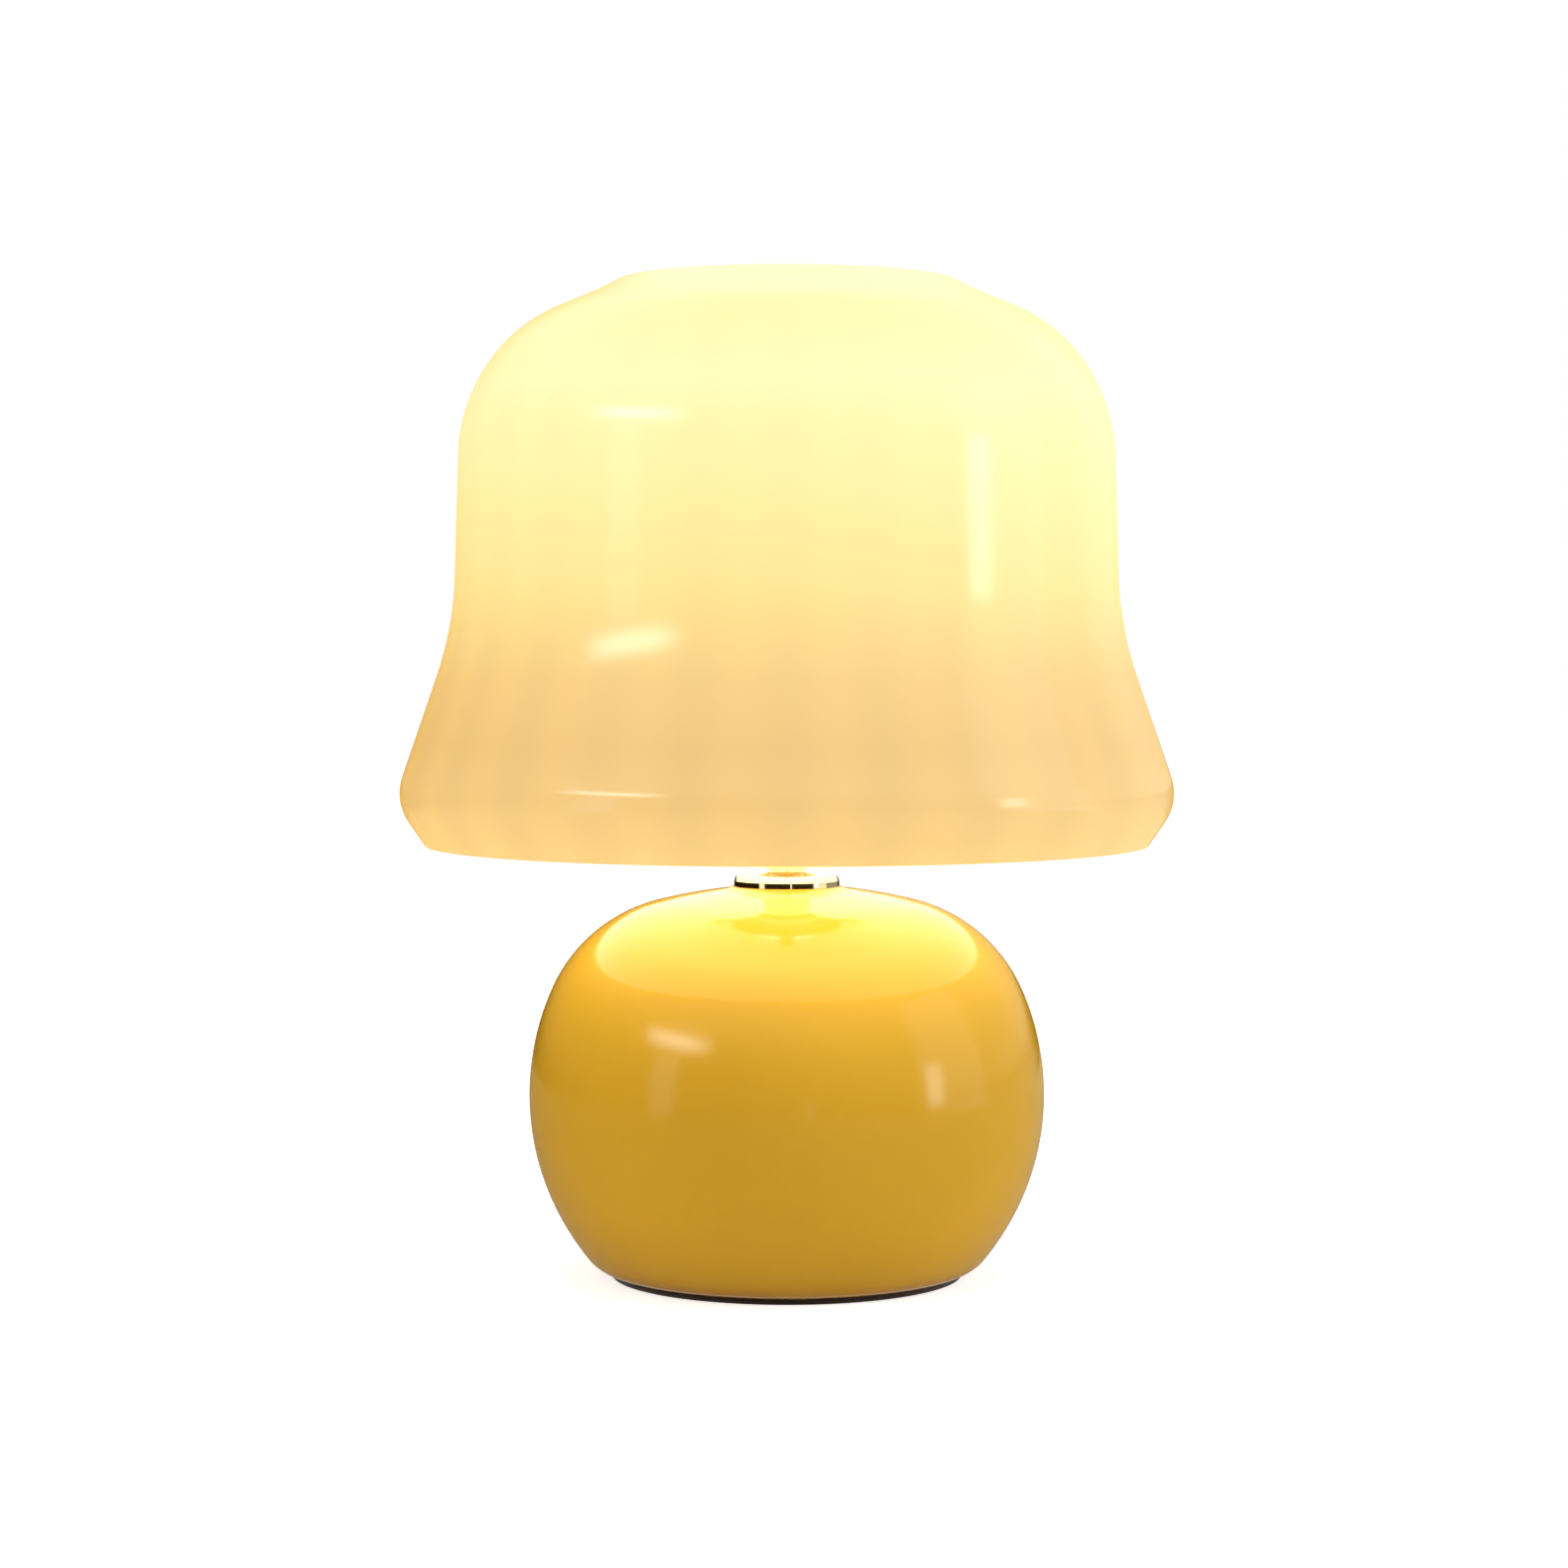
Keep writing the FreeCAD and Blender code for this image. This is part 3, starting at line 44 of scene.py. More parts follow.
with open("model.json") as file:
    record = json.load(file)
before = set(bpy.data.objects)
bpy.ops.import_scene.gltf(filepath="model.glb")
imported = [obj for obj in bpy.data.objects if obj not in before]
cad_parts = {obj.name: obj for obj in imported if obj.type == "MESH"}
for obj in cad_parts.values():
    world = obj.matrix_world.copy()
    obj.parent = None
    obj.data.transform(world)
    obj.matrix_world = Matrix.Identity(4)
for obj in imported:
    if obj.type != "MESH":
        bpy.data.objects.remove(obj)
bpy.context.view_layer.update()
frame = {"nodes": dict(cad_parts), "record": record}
MM = 0.001
SMOOTH_BELOW = math.radians(32)
RIB_COUNT = 26
BLACK = (0.0, 0.0, 0.0)


# ---- sizes and colours

def length(name, description, millimetres):
    return FloatProperty(
        name=name, description=description, default=millimetres * MM, min=0.0,
        unit="LENGTH", subtype="DISTANCE", precision=5)


def colour(name, description, value):
    return FloatVectorProperty(
        name=name, description=description, default=value, size=3, min=0.0, max=1.0,
        subtype="COLOR")


class LampSizes(bpy.types.PropertyGroup):
    equator_radius: length("Equator radius", "Widest radius of the base", 78.9)
    equator_height: length("Equator height", "Height of the base's widest place", 55.7)
    heel_round: length("Heel", "Rounding from the flat of the foot into the side", 12.7)
    lower_arc: length("Lower arc", "Radius of the side below the equator", 78.5)
    upper_arc: length("Upper arc", "Radius of the side above the equator", 79.3)
    shoulder_arc: length("Shoulder arc", "Radius of the base's shoulder", 47.4)
    base_wall: length("Base wall", "Thickness of the ceramic", 5.0)
    glass_wall: length("Glass wall", "Thickness of the shade's glass", 3.0)
    rib_depth: length("Rib depth", "Height of the optic ribs inside the shade", 0.45)
    rib_count: IntProperty(
        name="Ribs", description="Optic ribs round the inside of the shade",
        default=RIB_COUNT, min=0)
    side_angle: FloatProperty(
        name="Side angle", description="Where the base's side meets its shoulder",
        default=math.radians(24.6), subtype="ANGLE", unit="ROTATION")
    crown_angle: FloatProperty(
        name="Crown angle", description="Where the base's shoulder meets its dome",
        default=math.radians(76.2), subtype="ANGLE", unit="ROTATION")


class LampColours(bpy.types.PropertyGroup):
    glaze: colour("Glaze", "Yellow-ochre glaze of the base", (0.62, 0.345, 0.020))
    # The darker, redder colour that the glaze takes in a band at the foot of the base.
    glaze_at_foot: colour("Thin glaze", "Glaze where it runs thin on an edge", (0.52, 0.20, 0.012))
    opal: colour("Opal glass", "Glass of the shade, unlit", (0.30, 0.26, 0.19))
    inner_glow: colour("Inner glow", "Lit inside of the shade", (1.0, 0.96, 0.74))
    bulb_glow: colour("Bulb glow", "Lit globe of the bulb", (1.0, 0.86, 0.60))
    brass: colour("Brass", "Polished brass of the neck", (0.89, 0.76, 0.42))
    carrier: colour("Carrier", "Satin enamel of the shade's carrier", (0.88, 0.78, 0.50))
    phenolic: colour("Lampholder", "Moulding of the lampholder", (0.86, 0.82, 0.70))
    felt: colour("Felt", "Felt under the foot", (0.028, 0.014, 0.008))


# ---- node trees as expressions

class Term:
    """A socket of a node tree. Python's operators on it add Math nodes."""

    def __init__(self, kit, socket):
        self.kit = kit
        self.socket = socket

    def output(self, name):
        """Another output of the same node."""
        return Term(self.kit, self.socket.node.outputs[name])


def math_method(operation, swapped):
    """A method of Term that adds a Math node; swapped for a term on the operator's right."""
    def method(self, other):
        pair = (other, self) if swapped else (self, other)
        return self.kit.call(operation, *pair)
    return method


for sign, operation in (
        ("add", "ADD"), ("sub", "SUBTRACT"), ("mul", "MULTIPLY"), ("truediv", "DIVIDE")):
    setattr(Term, f"__{sign}__", math_method(operation, False))
    setattr(Term, f"__r{sign}__", math_method(operation, True))


class NodeKit:
    """Adds nodes to a tree."""

    def __init__(self, tree):
        self.tree = tree

    def add(self, kind, settings=None, inputs=None, out=0):
        """A node with its settings, then the values or links of its inputs; gives one output."""
        node = self.tree.nodes.new(kind)
        for name, value in (settings or {}).items():
            if name == "stops":
                ramp = node.color_ramp
                while len(ramp.elements) < len(value):
                    ramp.elements.new(1.0)
                for element, (place, shade) in zip(ramp.elements, value):
                    element.position = place
                    element.color = (*shade, 1.0)
            else:
                setattr(node, name, value)
        for name, value in (inputs or {}).items():
            self.plug(node.inputs[name], value)
        return Term(self, node.outputs[out])

    def plug(self, socket, value):
        if isinstance(value, Term):
            self.tree.links.new(value.socket, socket)
        else:
            socket.default_value = value

    def call(self, operation, *terms):
        """A Math node that has no Python operator."""
        return self.add("ShaderNodeMath", {"operation": operation}, dict(enumerate(terms)))

    def between(self, value, low, high):
        """0 at low, 1 at high, smooth between and level outside."""
        return self.add(
            "ShaderNodeMapRange", {"interpolation_type": "SMOOTHSTEP"},
            {"Value": value, "From Min": low, "From Max": high})

    def patch(self, value, low, high, soft):
        """1 between low and high and 0 outside, with soft edges."""
        return self.between(value, low - soft, low + soft) * (
            1.0 - self.between(value, high - soft, high + soft))

    def axis_angle(self, position):
        """The angle round the lamp's axis, from the front."""
        parts = self.add("ShaderNodeSeparateXYZ", None, {0: position})
        return self.call("ARCTAN2", parts, 0.0 - parts.output("Y")), parts

    def seen_directly(self):
        """1 for what the camera sees, also in gloss and through glass; 0 for diffuse light."""
        path = self.add("ShaderNodeLightPath", out="Is Camera Ray")
        rays = path + path.output("Is Glossy Ray") + path.output("Is Transmission Ray")
        return self.call("MINIMUM", rays, 1.0)


class Finish(NodeKit):
    """A procedural material: its Principled shader and what feeds it."""

    def __init__(self, name):
        self.material = bpy.data.materials.new(name)
        self.material.use_nodes = True
        super().__init__(self.material.node_tree)
        self.tree.nodes.clear()
        self.shader = self.tree.nodes.new("ShaderNodeBsdfPrincipled")
        end = self.tree.nodes.new("ShaderNodeOutputMaterial")
        self.tree.links.new(self.shader.outputs[0], end.inputs["Surface"])
        self.place = self.add("ShaderNodeTexCoord", out="Object")

    def set(self, **sockets):
        """Sets the shader's sockets, named with _ for a space."""
        for name, value in sockets.items():
            socket = self.shader.inputs[name.replace("_", " ")]
            if not isinstance(value, Term) and socket.type == "RGBA" and len(value) == 3:
                value = (*value, 1.0)
            self.plug(socket, value)
        return self.material

    def noise(self, scale, detail=3.0, rough=0.5, place=None):
        """Noise from 0 to 1 over the piece, scale in features per metre."""
        return self.add(
            "ShaderNodeTexNoise", None,
            {"Vector": place or self.place, "Scale": scale, "Detail": detail, "Roughness": rough})

    def height(self):
        """How high a point of the piece lies, in the piece's coordinates."""
        return self.add("ShaderNodeSeparateXYZ", None, {0: self.place}).output("Z")

    def stretched(self, x, y, z):
        """The piece's coordinates, scaled along each axis."""
        return self.add("ShaderNodeMapping", None, {"Vector": self.place, "Scale": (x, y, z)})

    def mix(self, share, first, second, blend="MIX"):
        """A colour between two, or one blended with another."""
        pair = [(*c, 1.0) if isinstance(c, (tuple, list)) else c for c in (first, second)]
        return self.add(
            "ShaderNodeMix", {"data_type": "RGBA", "blend_type": blend},
            {0: share, 6: pair[0], 7: pair[1]}, out=2)

    def tint(self, shade, factor):
        """A colour made lighter or darker by a value."""
        grey = self.add("ShaderNodeCombineColor", None, {0: factor, 1: factor, 2: factor})
        return self.mix(1.0, shade, grey, "MULTIPLY")

    def bump(self, height, distance, strength=1.0):
        return self.add(
            "ShaderNodeBump", None,
            {"Height": height, "Distance": distance, "Strength": strength})


def mottled(name, shade, rough, metallic=0.0, grain=900.0, depth=0.00003, mottle=0.12, coat=0.0,
            blotch=90.0):
    """A finish with cloudy colour, uneven gloss and a fine grain."""
    finish = Finish(name)
    clouds = finish.noise(blotch, 4.0)
    fine = finish.noise(grain, 2.0)
    finish.set(
        Base_Color=finish.tint(tuple(shade), 1.0 - mottle / 2 + mottle * clouds),
        Roughness=rough * (0.8 + 0.4 * fine),
        Metallic=metallic,
        Normal=finish.bump(fine, depth),
        Coat_Weight=coat,
        Coat_Roughness=0.06)
    return finish.material


# ---- outlines and meshes

def rounded(corners, step=7.0):
    """Points of an outline through (x, y, rounding) corners; the rounding may be left out."""
    points = []
    for number, corner in enumerate(corners):
        here = Vector(corner[:2])
        rounding = corner[2] if len(corner) > 2 else 0.0
        if not rounding or number in (0, len(corners) - 1):
            points.append(tuple(here))
            continue
        back = (Vector(corners[number - 1][:2]) - here).normalized()
        ahead = (Vector(corners[number + 1][:2]) - here).normalized()
        half = back.angle(ahead) / 2
        inward = (back + ahead).normalized()
        centre = here + inward * (rounding / math.sin(half))
        first = here + back * (rounding / math.tan(half)) - centre
        last = here + ahead * (rounding / math.tan(half)) - centre
        turn = first.angle_signed(last)
        count = max(2, round(abs(math.degrees(turn)) / step))
        for share in range(count + 1):
            angle = turn * share / count
            points.append(tuple(centre + Matrix.Rotation(-angle, 2) @ first))
    return points


def parallel(corners, wall):
    """The corners of a parallel outline, one wall to the right of the way along."""
    normals = []
    for here, there in zip(corners, corners[1:]):
        run = Vector(there[:2]) - Vector(here[:2])
        normals.append(Vector((run.y, -run.x)).normalized())
    moved = []
    for number, corner in enumerate(corners):
        before = normals[max(number - 1, 0)]
        after = normals[min(number, len(normals) - 1)]
        place = Vector(corner[:2]) + wall * (before + after) / (1 + before.dot(after))
        if len(corner) > 2:
            convex = before.x * after.y - before.y * after.x < 0
            moved.append((*place, corner[2] - wall if convex else corner[2] + wall))
        else:
            moved.append(tuple(place))
    return moved


def arc(centre, radius, first, last, step=2.0):
    """Points on an arc about a centre, between two angles in radians."""
    count = max(2, round(abs(math.degrees(last - first)) / step))
    points = []
    for number in range(count + 1):
        angle = first + (last - first) * number / count
        points.append((centre[0] + radius * math.cos(angle), centre[1] + radius * math.sin(angle)))
    return points


def raised(outline, height):
    return [(point[0], point[1] + height, *point[2:]) for point in outline]


def millimetres(outline):
    return [tuple(value * MM for value in point) for point in outline]


def make_piece(name, mesh, material, sharp=SMOOTH_BELOW):
    """Turns a bmesh into a linked object with outward faces and smooth shading."""
    bmesh.ops.remove_doubles(mesh, verts=mesh.verts, dist=1e-7)
    bmesh.ops.recalc_face_normals(mesh, faces=mesh.faces)
    data = bpy.data.meshes.new(name)
    mesh.to_mesh(data)
    mesh.free()
    data.shade_smooth()
    data.set_sharp_from_angle(angle=sharp)
    data.materials.append(material)
    piece = bpy.data.objects.new(name, data)
    bpy.context.scene.collection.objects.link(piece)
    return piece


def turn_outline(mesh, outline, sides, first=0.0, sweep=math.tau):
    """Sweeps a closed outline of (radius, height) round the axis, adding to a bmesh."""
    whole = abs(sweep - math.tau) < 1e-6
    stations = sides if whole else sides + 1
    rows = []
    for radius, height in outline:
        if radius < 1e-6:
            rows.append([mesh.verts.new((0.0, 0.0, height))] * stations)
            continue
        row = []
        for number in range(stations):
            angle = first + sweep * number / sides
            place = (radius * math.cos(angle), radius * math.sin(angle), height)
            row.append(mesh.verts.new(place))
        rows.append(row)
    for low, high in zip(rows, rows[1:] + rows[:1]):
        for number in range(sides):
            after = (number + 1) % stations
            ring = [low[number], low[after], high[after], high[number]]
            corners = [v for place, v in enumerate(ring) if v not in ring[:place]]
            if len(corners) > 2:
                mesh.faces.new(corners)
    if not whole:
        mesh.faces.new([row[0] for row in rows])
        mesh.faces.new([row[-1] for row in rows])


def turned(name, outline, material, sides=96, **sweep):
    mesh = bmesh.new()
    turn_outline(mesh, outline, sides, **sweep)
    return make_piece(name, mesh, material)


def pressed(name, outline, width, material, edge, turn=0.0):
    """A strip cut from an outline in the XZ plane, with softened edges, turned about the axis."""
    mesh = bmesh.new()
    sides = [[mesh.verts.new((x, y, z)) for x, z in outline] for y in (-width / 2, width / 2)]
    for number in range(len(outline)):
        after = (number + 1) % len(outline)
        mesh.faces.new([sides[0][number], sides[0][after], sides[1][after], sides[1][number]])
    caps = [mesh.faces.new(side) for side in sides]
    rims = {line for cap in caps for line in cap.edges}
    bmesh.ops.recalc_face_normals(mesh, faces=mesh.faces)
    bmesh.ops.bevel(
        mesh, geom=list(rims), offset=edge, segments=3, profile=0.5, affect="EDGES")
    bmesh.ops.rotate(mesh, verts=mesh.verts, matrix=Matrix.Rotation(turn, 3, "Z"))
    return make_piece(name, mesh, material)


def settle(piece):
    """Turns a piece's modifiers into its mesh."""
    graph = bpy.context.evaluated_depsgraph_get()
    mesh = bpy.data.meshes.new_from_object(
        piece.evaluated_get(graph), preserve_all_data_layers=True, depsgraph=graph)
    mesh.name = piece.name
    piece.modifiers.clear()
    piece.data = mesh
    return piece


def fit(piece, body, slot, *nodes):
    """Puts a piece on its body and hides the CAD nodes that it stands for. The slot is not used.
    """
    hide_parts(*nodes)
    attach(piece, body)
    return piece


# ---- geometry nodes

class Recipe(NodeKit):
    """A Geometry Nodes tree with named inputs."""

    def __init__(self, name, **inputs):
        tree = bpy.data.node_groups.new(name, "GeometryNodeTree")
        super().__init__(tree)
        tree.interface.new_socket("Geometry", in_out="INPUT", socket_type="NodeSocketGeometry")
        self.values = {}
        for label, value in inputs.items():
            kind = "NodeSocketInt" if isinstance(value, int) else "NodeSocketFloat"
            socket = tree.interface.new_socket(
                label.replace("_", " ").capitalize(), in_out="INPUT", socket_type=kind)
            self.values[socket.identifier] = value
        tree.interface.new_socket("Geometry", in_out="OUTPUT", socket_type="NodeSocketGeometry")
        self.entry = self.add("NodeGroupInput")

    def given(self, label):
        return self.entry.output(label.replace("_", " ").capitalize())

    def coat(self, geometry, material, **choice):
        return self.add("GeometryNodeSetMaterial", None, {
            "Geometry": geometry, "Material": material, **choice})

    def apply_to(self, piece, geometry):
        """Ends the tree with its geometry, and turns the piece's mesh into what it makes."""
        end = self.tree.nodes.new("NodeGroupOutput")
        self.tree.links.new(geometry.socket, end.inputs[0])
        modifier = piece.modifiers.new(self.tree.name, "NODES")
        modifier.node_group = self.tree
        for identifier, value in self.values.items():
            modifier[identifier] = value
        settle(piece)

    def build(self, name, geometry, slot, height):
        """A new smooth piece from the tree's own geometry, moved up to a height."""
        real = self.add("GeometryNodeRealizeInstances", None, {"Geometry": geometry})
        smooth = self.add("GeometryNodeSetShadeSmooth", None, {"Geometry": real})
        piece = bpy.data.objects.new(name, bpy.data.meshes.new(name))
        bpy.context.scene.collection.objects.link(piece)
        self.apply_to(piece, self.coat(smooth, finishes[slot]))
        piece.data.transform(Matrix.Translation((0, 0, height)))
        return piece


def wound_thread(node, slot, radius, wire, pitch, turns, lift):
    """A round thread wound up a node's axis; lengths in millimetres, lift above its foot."""
    name = f"{node}_thread"
    recipe = Recipe(
        f"{name}_recipe", radius=radius * MM, wire=wire * MM, pitch=pitch * MM, turns=turns)
    radius, turns = recipe.given("radius"), recipe.given("turns")
    spiral = recipe.add("GeometryNodeCurveSpiral", None, {
        "Resolution": 40, "Rotations": turns, "Start Radius": radius, "End Radius": radius,
        "Height": recipe.given("pitch") * turns})
    section = recipe.add("GeometryNodeCurvePrimitiveCircle", None, {
        "Resolution": 8, "Radius": recipe.given("wire")})
    tube = recipe.add("GeometryNodeCurveToMesh", None, {
        "Curve": spiral, "Profile Curve": section, "Fill Caps": True})
    return recipe.build(name, tube, slot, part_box(node)[0].z + lift * MM)


def ring_of_grips(node, slot, radius, count, grip, tall, lift):
    """Upright rounded grips round a node; lengths in millimetres, lift above its foot."""
    name = f"{node}_grips"
    recipe = Recipe(
        f"{name}_recipe", radius=radius * MM, count=count, grip=grip * MM, tall=tall * MM)
    circle = recipe.add("GeometryNodeMeshCircle", None, {
        "Vertices": recipe.given("count"), "Radius": recipe.given("radius")})
    bar = recipe.add("GeometryNodeMeshCylinder", None, {
        "Vertices": 8, "Radius": recipe.given("grip"), "Depth": recipe.given("tall")})
    spread = recipe.add("GeometryNodeInstanceOnPoints", None, {"Points": circle, "Instance": bar})
    return recipe.build(name, spread, slot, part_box(node)[0].z + (lift + tall / 2) * MM)


def joined(first, *others):
    """Puts other pieces' meshes into the first."""
    mesh = bmesh.new()
    for piece in (first, *others):
        mesh.from_mesh(piece.data)
    mesh.to_mesh(first.data)
    mesh.free()
    for piece in others:
        bpy.data.objects.remove(piece)
    return first


# ---- finishes

def srgb(red, green, blue):
    """Shader values for a colour as a screen shows it, 0 to 255."""
    return tuple(
        value / 255 / 12.92 if value <= 10 else ((value / 255 + 0.055) / 1.055) ** 2.4
        for value in (red, green, blue))


def glaze_finish(colours):
    """Glossy ochre glaze, clouded and pooled, darker and redder in a band at the foot."""
    finish = Finish("glaze")
    clouds = finish.noise(14.0, 3.0)
    specks = finish.noise(260.0, 2.0)
    shade = finish.tint(tuple(colours.glaze), 0.93 + 0.14 * clouds)
    low_edge = 1.0 - finish.between(finish.height(), 2.0 * MM, 9.0 * MM)
    foot_noise = 0.35 + 0.65 * finish.noise(60.0, 3.0)
    # Darker and redder in a band at the foot, broken up by noise.
    shade = finish.mix(0.55 * low_edge * foot_noise, shade, tuple(colours.glaze_at_foot))
    ripple = finish.noise(22.0, 2.0)
    return finish.set(
        Base_Color=shade,
        Roughness=0.11 + 0.05 * specks,
        IOR=1.42,
        Normal=finish.bump(ripple + 0.04 * specks, 0.00035, 0.6))


def glass_band(finish):
    """The light and dark bands that the optic ribs draw in the lit glass, about 1."""
    angle, parts = finish.axis_angle(finish.place)
    height = parts.output("Z")
    flare = 1.0 - finish.between(height, 150.0 * MM, 235.0 * MM)
    top = 1.0 - finish.between(height, 276.0 * MM, 292.0 * MM)
    wave = finish.call("COSINE", RIB_COUNT * angle)
    streaks = finish.noise(1.0, 3.0, 0.6, finish.stretched(48.0, 48.0, 5.0))
    strength = (0.012 + 0.020 * flare) * top * (0.45 + 1.1 * streaks)
    return 1.0 - strength * wave, height


def outer_glass_finish(colours):
    """Opal glass from outside: a painted glow of the bulb's light, brightest round the bulb,
    dimmer and ochre towards the flare.
    """
    finish = Finish("opal_glass")
    bands, height = glass_band(finish)
    low, high = 132.0 * MM, 304.0 * MM
    share = (height - low) / (high - low)
    # Painted glow by height: bright round the bulb, dimmer and more ochre towards the rim.
    glow = finish.add("ShaderNodeValToRGB", {"stops": [
        (0.00, srgb(226, 183, 94)), (0.10, srgb(211, 166, 76)), (0.19, srgb(207, 161, 69)),
        (0.30, srgb(215, 171, 80)), (0.45, srgb(232, 202, 112)), (0.64, srgb(236, 218, 140)),
        (0.80, srgb(238, 226, 158)), (0.93, srgb(232, 218, 140)), (1.00, srgb(232, 222, 160)),
    ]}, {0: share})
    return finish.set(
        Base_Color=tuple(colours.opal),
        Roughness=0.12,
        IOR=1.47,
        Emission_Color=finish.tint(glow, bands),
        Emission_Strength=1.0)


def inner_glass_finish(colours):
    """The same glass from inside, where the light falls on it."""
    finish = Finish("opal_glass_inside")
    bands, height = glass_band(finish)
    reach = finish.between(height, 120.0 * MM, 235.0 * MM)
    return finish.set(
        Base_Color=tuple(colours.opal),
        Roughness=0.3,
        Emission_Color=finish.tint(tuple(colours.inner_glow), bands * (0.72 + 0.28 * reach)),
        Emission_Strength=2.6)


def brass_finish(colours):
    """Polished, lacquered brass with faint turning lines."""
    finish = Finish("polished_brass")
    lines = finish.noise(1.0, 2.0, 0.5, finish.stretched(60.0, 60.0, 5200.0))
    haze = finish.noise(130.0, 3.0)
    return finish.set(
        Base_Color=finish.tint(tuple(colours.brass), 0.95 + 0.1 * haze),
        Metallic=1.0,
        Roughness=0.05 + 0.05 * haze,
        Normal=finish.bump(lines, 0.00001, 0.35))


def enamel_finish(colours):
    """Satin gold enamel of the carrier."""
    finish = Finish("carrier_steel")
    peel = finish.noise(900.0, 2.0)
    haze = finish.noise(70.0, 3.0)
    return finish.set(
        Base_Color=finish.tint(tuple(colours.carrier), 0.92 + 0.16 * haze),
        Metallic=0.15,
        Roughness=0.32 + 0.12 * peel,
        Normal=finish.bump(peel, 0.00004),
        Coat_Weight=0.3,
        Coat_Roughness=0.15)


def felt_finish(colours):
    """Pressed brown felt: short crossed fibres and a soft nap."""
    finish = Finish("felt")
    fibre = finish.noise(2600.0, 5.0, 0.75)
    tuft = finish.noise(420.0, 3.0, 0.6)
    return finish.set(
        Base_Color=finish.tint(tuple(colours.felt), 0.5 + 1.0 * tuft * (0.5 + fibre)),
        Roughness=0.95,
        Sheen_Weight=0.35,
        Normal=finish.bump(0.6 * fibre + 0.4 * tuft, 0.0004))


def phenolic_finish(colours):
    """Glossy moulded thermoset with a faint flow pattern."""
    finish = Finish("cream_phenolic")
    flow = finish.noise(1.0, 4.0, 0.6, finish.stretched(70.0, 70.0, 180.0))
    grain = finish.noise(1400.0, 2.0)
    return finish.set(
        Base_Color=finish.tint(tuple(colours.phenolic), 0.9 + 0.2 * flow),
        Roughness=0.22 + 0.1 * grain,
        Normal=finish.bump(grain, 0.00002))


def silicone_finish():
    finish = Finish("silicone")
    dust = finish.noise(1800.0, 4.0, 0.7)
    return finish.set(
        Base_Color=finish.tint(srgb(226, 224, 214), 0.88 + 0.14 * dust),
        Roughness=0.42 + 0.2 * dust,
        Subsurface_Weight=0.2,
        Subsurface_Radius=(0.002, 0.002, 0.0015),
        Normal=finish.bump(dust, 0.00005))


def bulb_globe_finish(colours):
    """Opal plastic globe, lit from the board below it."""
    finish = Finish("bulb_opal")
    reach = finish.between(finish.height(), 214.0 * MM, 226.0 * MM)
    grain = finish.noise(700.0, 2.0)
    return finish.set(
        Base_Color=srgb(236, 232, 220),
        Roughness=0.28 + 0.08 * grain,
        Emission_Color=finish.tint(tuple(colours.bulb_glow), 0.45 + 0.55 * reach),
        Emission_Strength=7.0)


def led_finish():
    finish = Finish("led_yellow")
    grain = finish.noise(3000.0, 2.0)
    return finish.set(
        Base_Color=finish.tint(srgb(236, 204, 84), 0.85 + 0.3 * grain),
        Roughness=0.4,
        Emission_Color=srgb(255, 226, 140),
        Emission_Strength=2.0)


def brushed(name, shade, rough, lines=(40.0, 40.0, 3000.0)):
    """Plated or bare metal with lines from its making."""
    finish = Finish(name)
    drawn = finish.noise(1.0, 3.0, 0.6, finish.stretched(*lines))
    haze = finish.noise(160.0, 3.0)
    return finish.set(
        Base_Color=finish.tint(shade, 0.85 + 0.3 * haze),
        Metallic=1.0,
        Roughness=rough * (0.7 + 0.6 * drawn),
        Normal=finish.bump(drawn, 0.00002, 0.6))


def make_finishes(colours):
    """Every finish of the lamp, by its slot in the record."""
    made = {
        "glaze": glaze_finish(colours),
        "opal_glass": outer_glass_finish(colours),
        "opal_glass_inside": inner_glass_finish(colours),
        "polished_brass": brass_finish(colours),
        "carrier_steel": enamel_finish(colours),
        "felt": felt_finish(colours),
        "cream_phenolic": phenolic_finish(colours),
        "silicone": silicone_finish(),
        "bulb_opal": bulb_globe_finish(colours),
        "led_yellow": led_finish(),
        "zinc_steel": brushed("zinc_steel", srgb(202, 203, 204), 0.3),
        "spring_bronze": brushed("spring_bronze", srgb(216, 160, 96), 0.24),
        "nickel": brushed("nickel", srgb(214, 210, 202), 0.2),
        "tin": brushed("tin", srgb(208, 208, 204), 0.35, (900.0, 900.0, 900.0)),
        "board_metal": brushed("board_metal", srgb(232, 232, 230), 0.45),
    }
    for name, shade, rough, more in (
        ("fibreboard", srgb(140, 112, 82), 0.85, {"grain": 500.0, "depth": 0.0002, "mottle": 0.4}),
        ("black_nylon", srgb(34, 33, 33), 0.5, {"grain": 1500.0, "depth": 0.00004, "mottle": 0.3}),
        ("white_nylon", srgb(226, 225, 217), 0.45, {"mottle": 0.08}),
        ("steatite", srgb(224, 219, 206), 0.7, {"grain": 700.0, "depth": 0.00006}),
        ("brown_insulation", srgb(92, 52, 28), 0.35, {"mottle": 0.2}),
        ("blue_insulation", srgb(38, 78, 160), 0.35, {"mottle": 0.2}),
        ("black_glass", srgb(22, 22, 26), 0.12, {"coat": 0.5}),
        ("bulb_white", srgb(240, 239, 234), 0.38, {"mottle": 0.06, "grain": 1600.0}),
        ("board_green", srgb(24, 92, 48), 0.4, {"mottle": 0.3}),
        ("capacitor_black", srgb(28, 28, 32), 0.3, {"mottle": 0.2, "coat": 0.4}),
    ):
        made[name] = mottled(name, shade, rough, **more)
    return made


finishes = {}


# ---- pieces of the stand

def outer_size(node):
    """A node's outer radius and its height, in millimetres."""
    low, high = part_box(node)
    return high.x / MM, (high.z - low.z) / MM


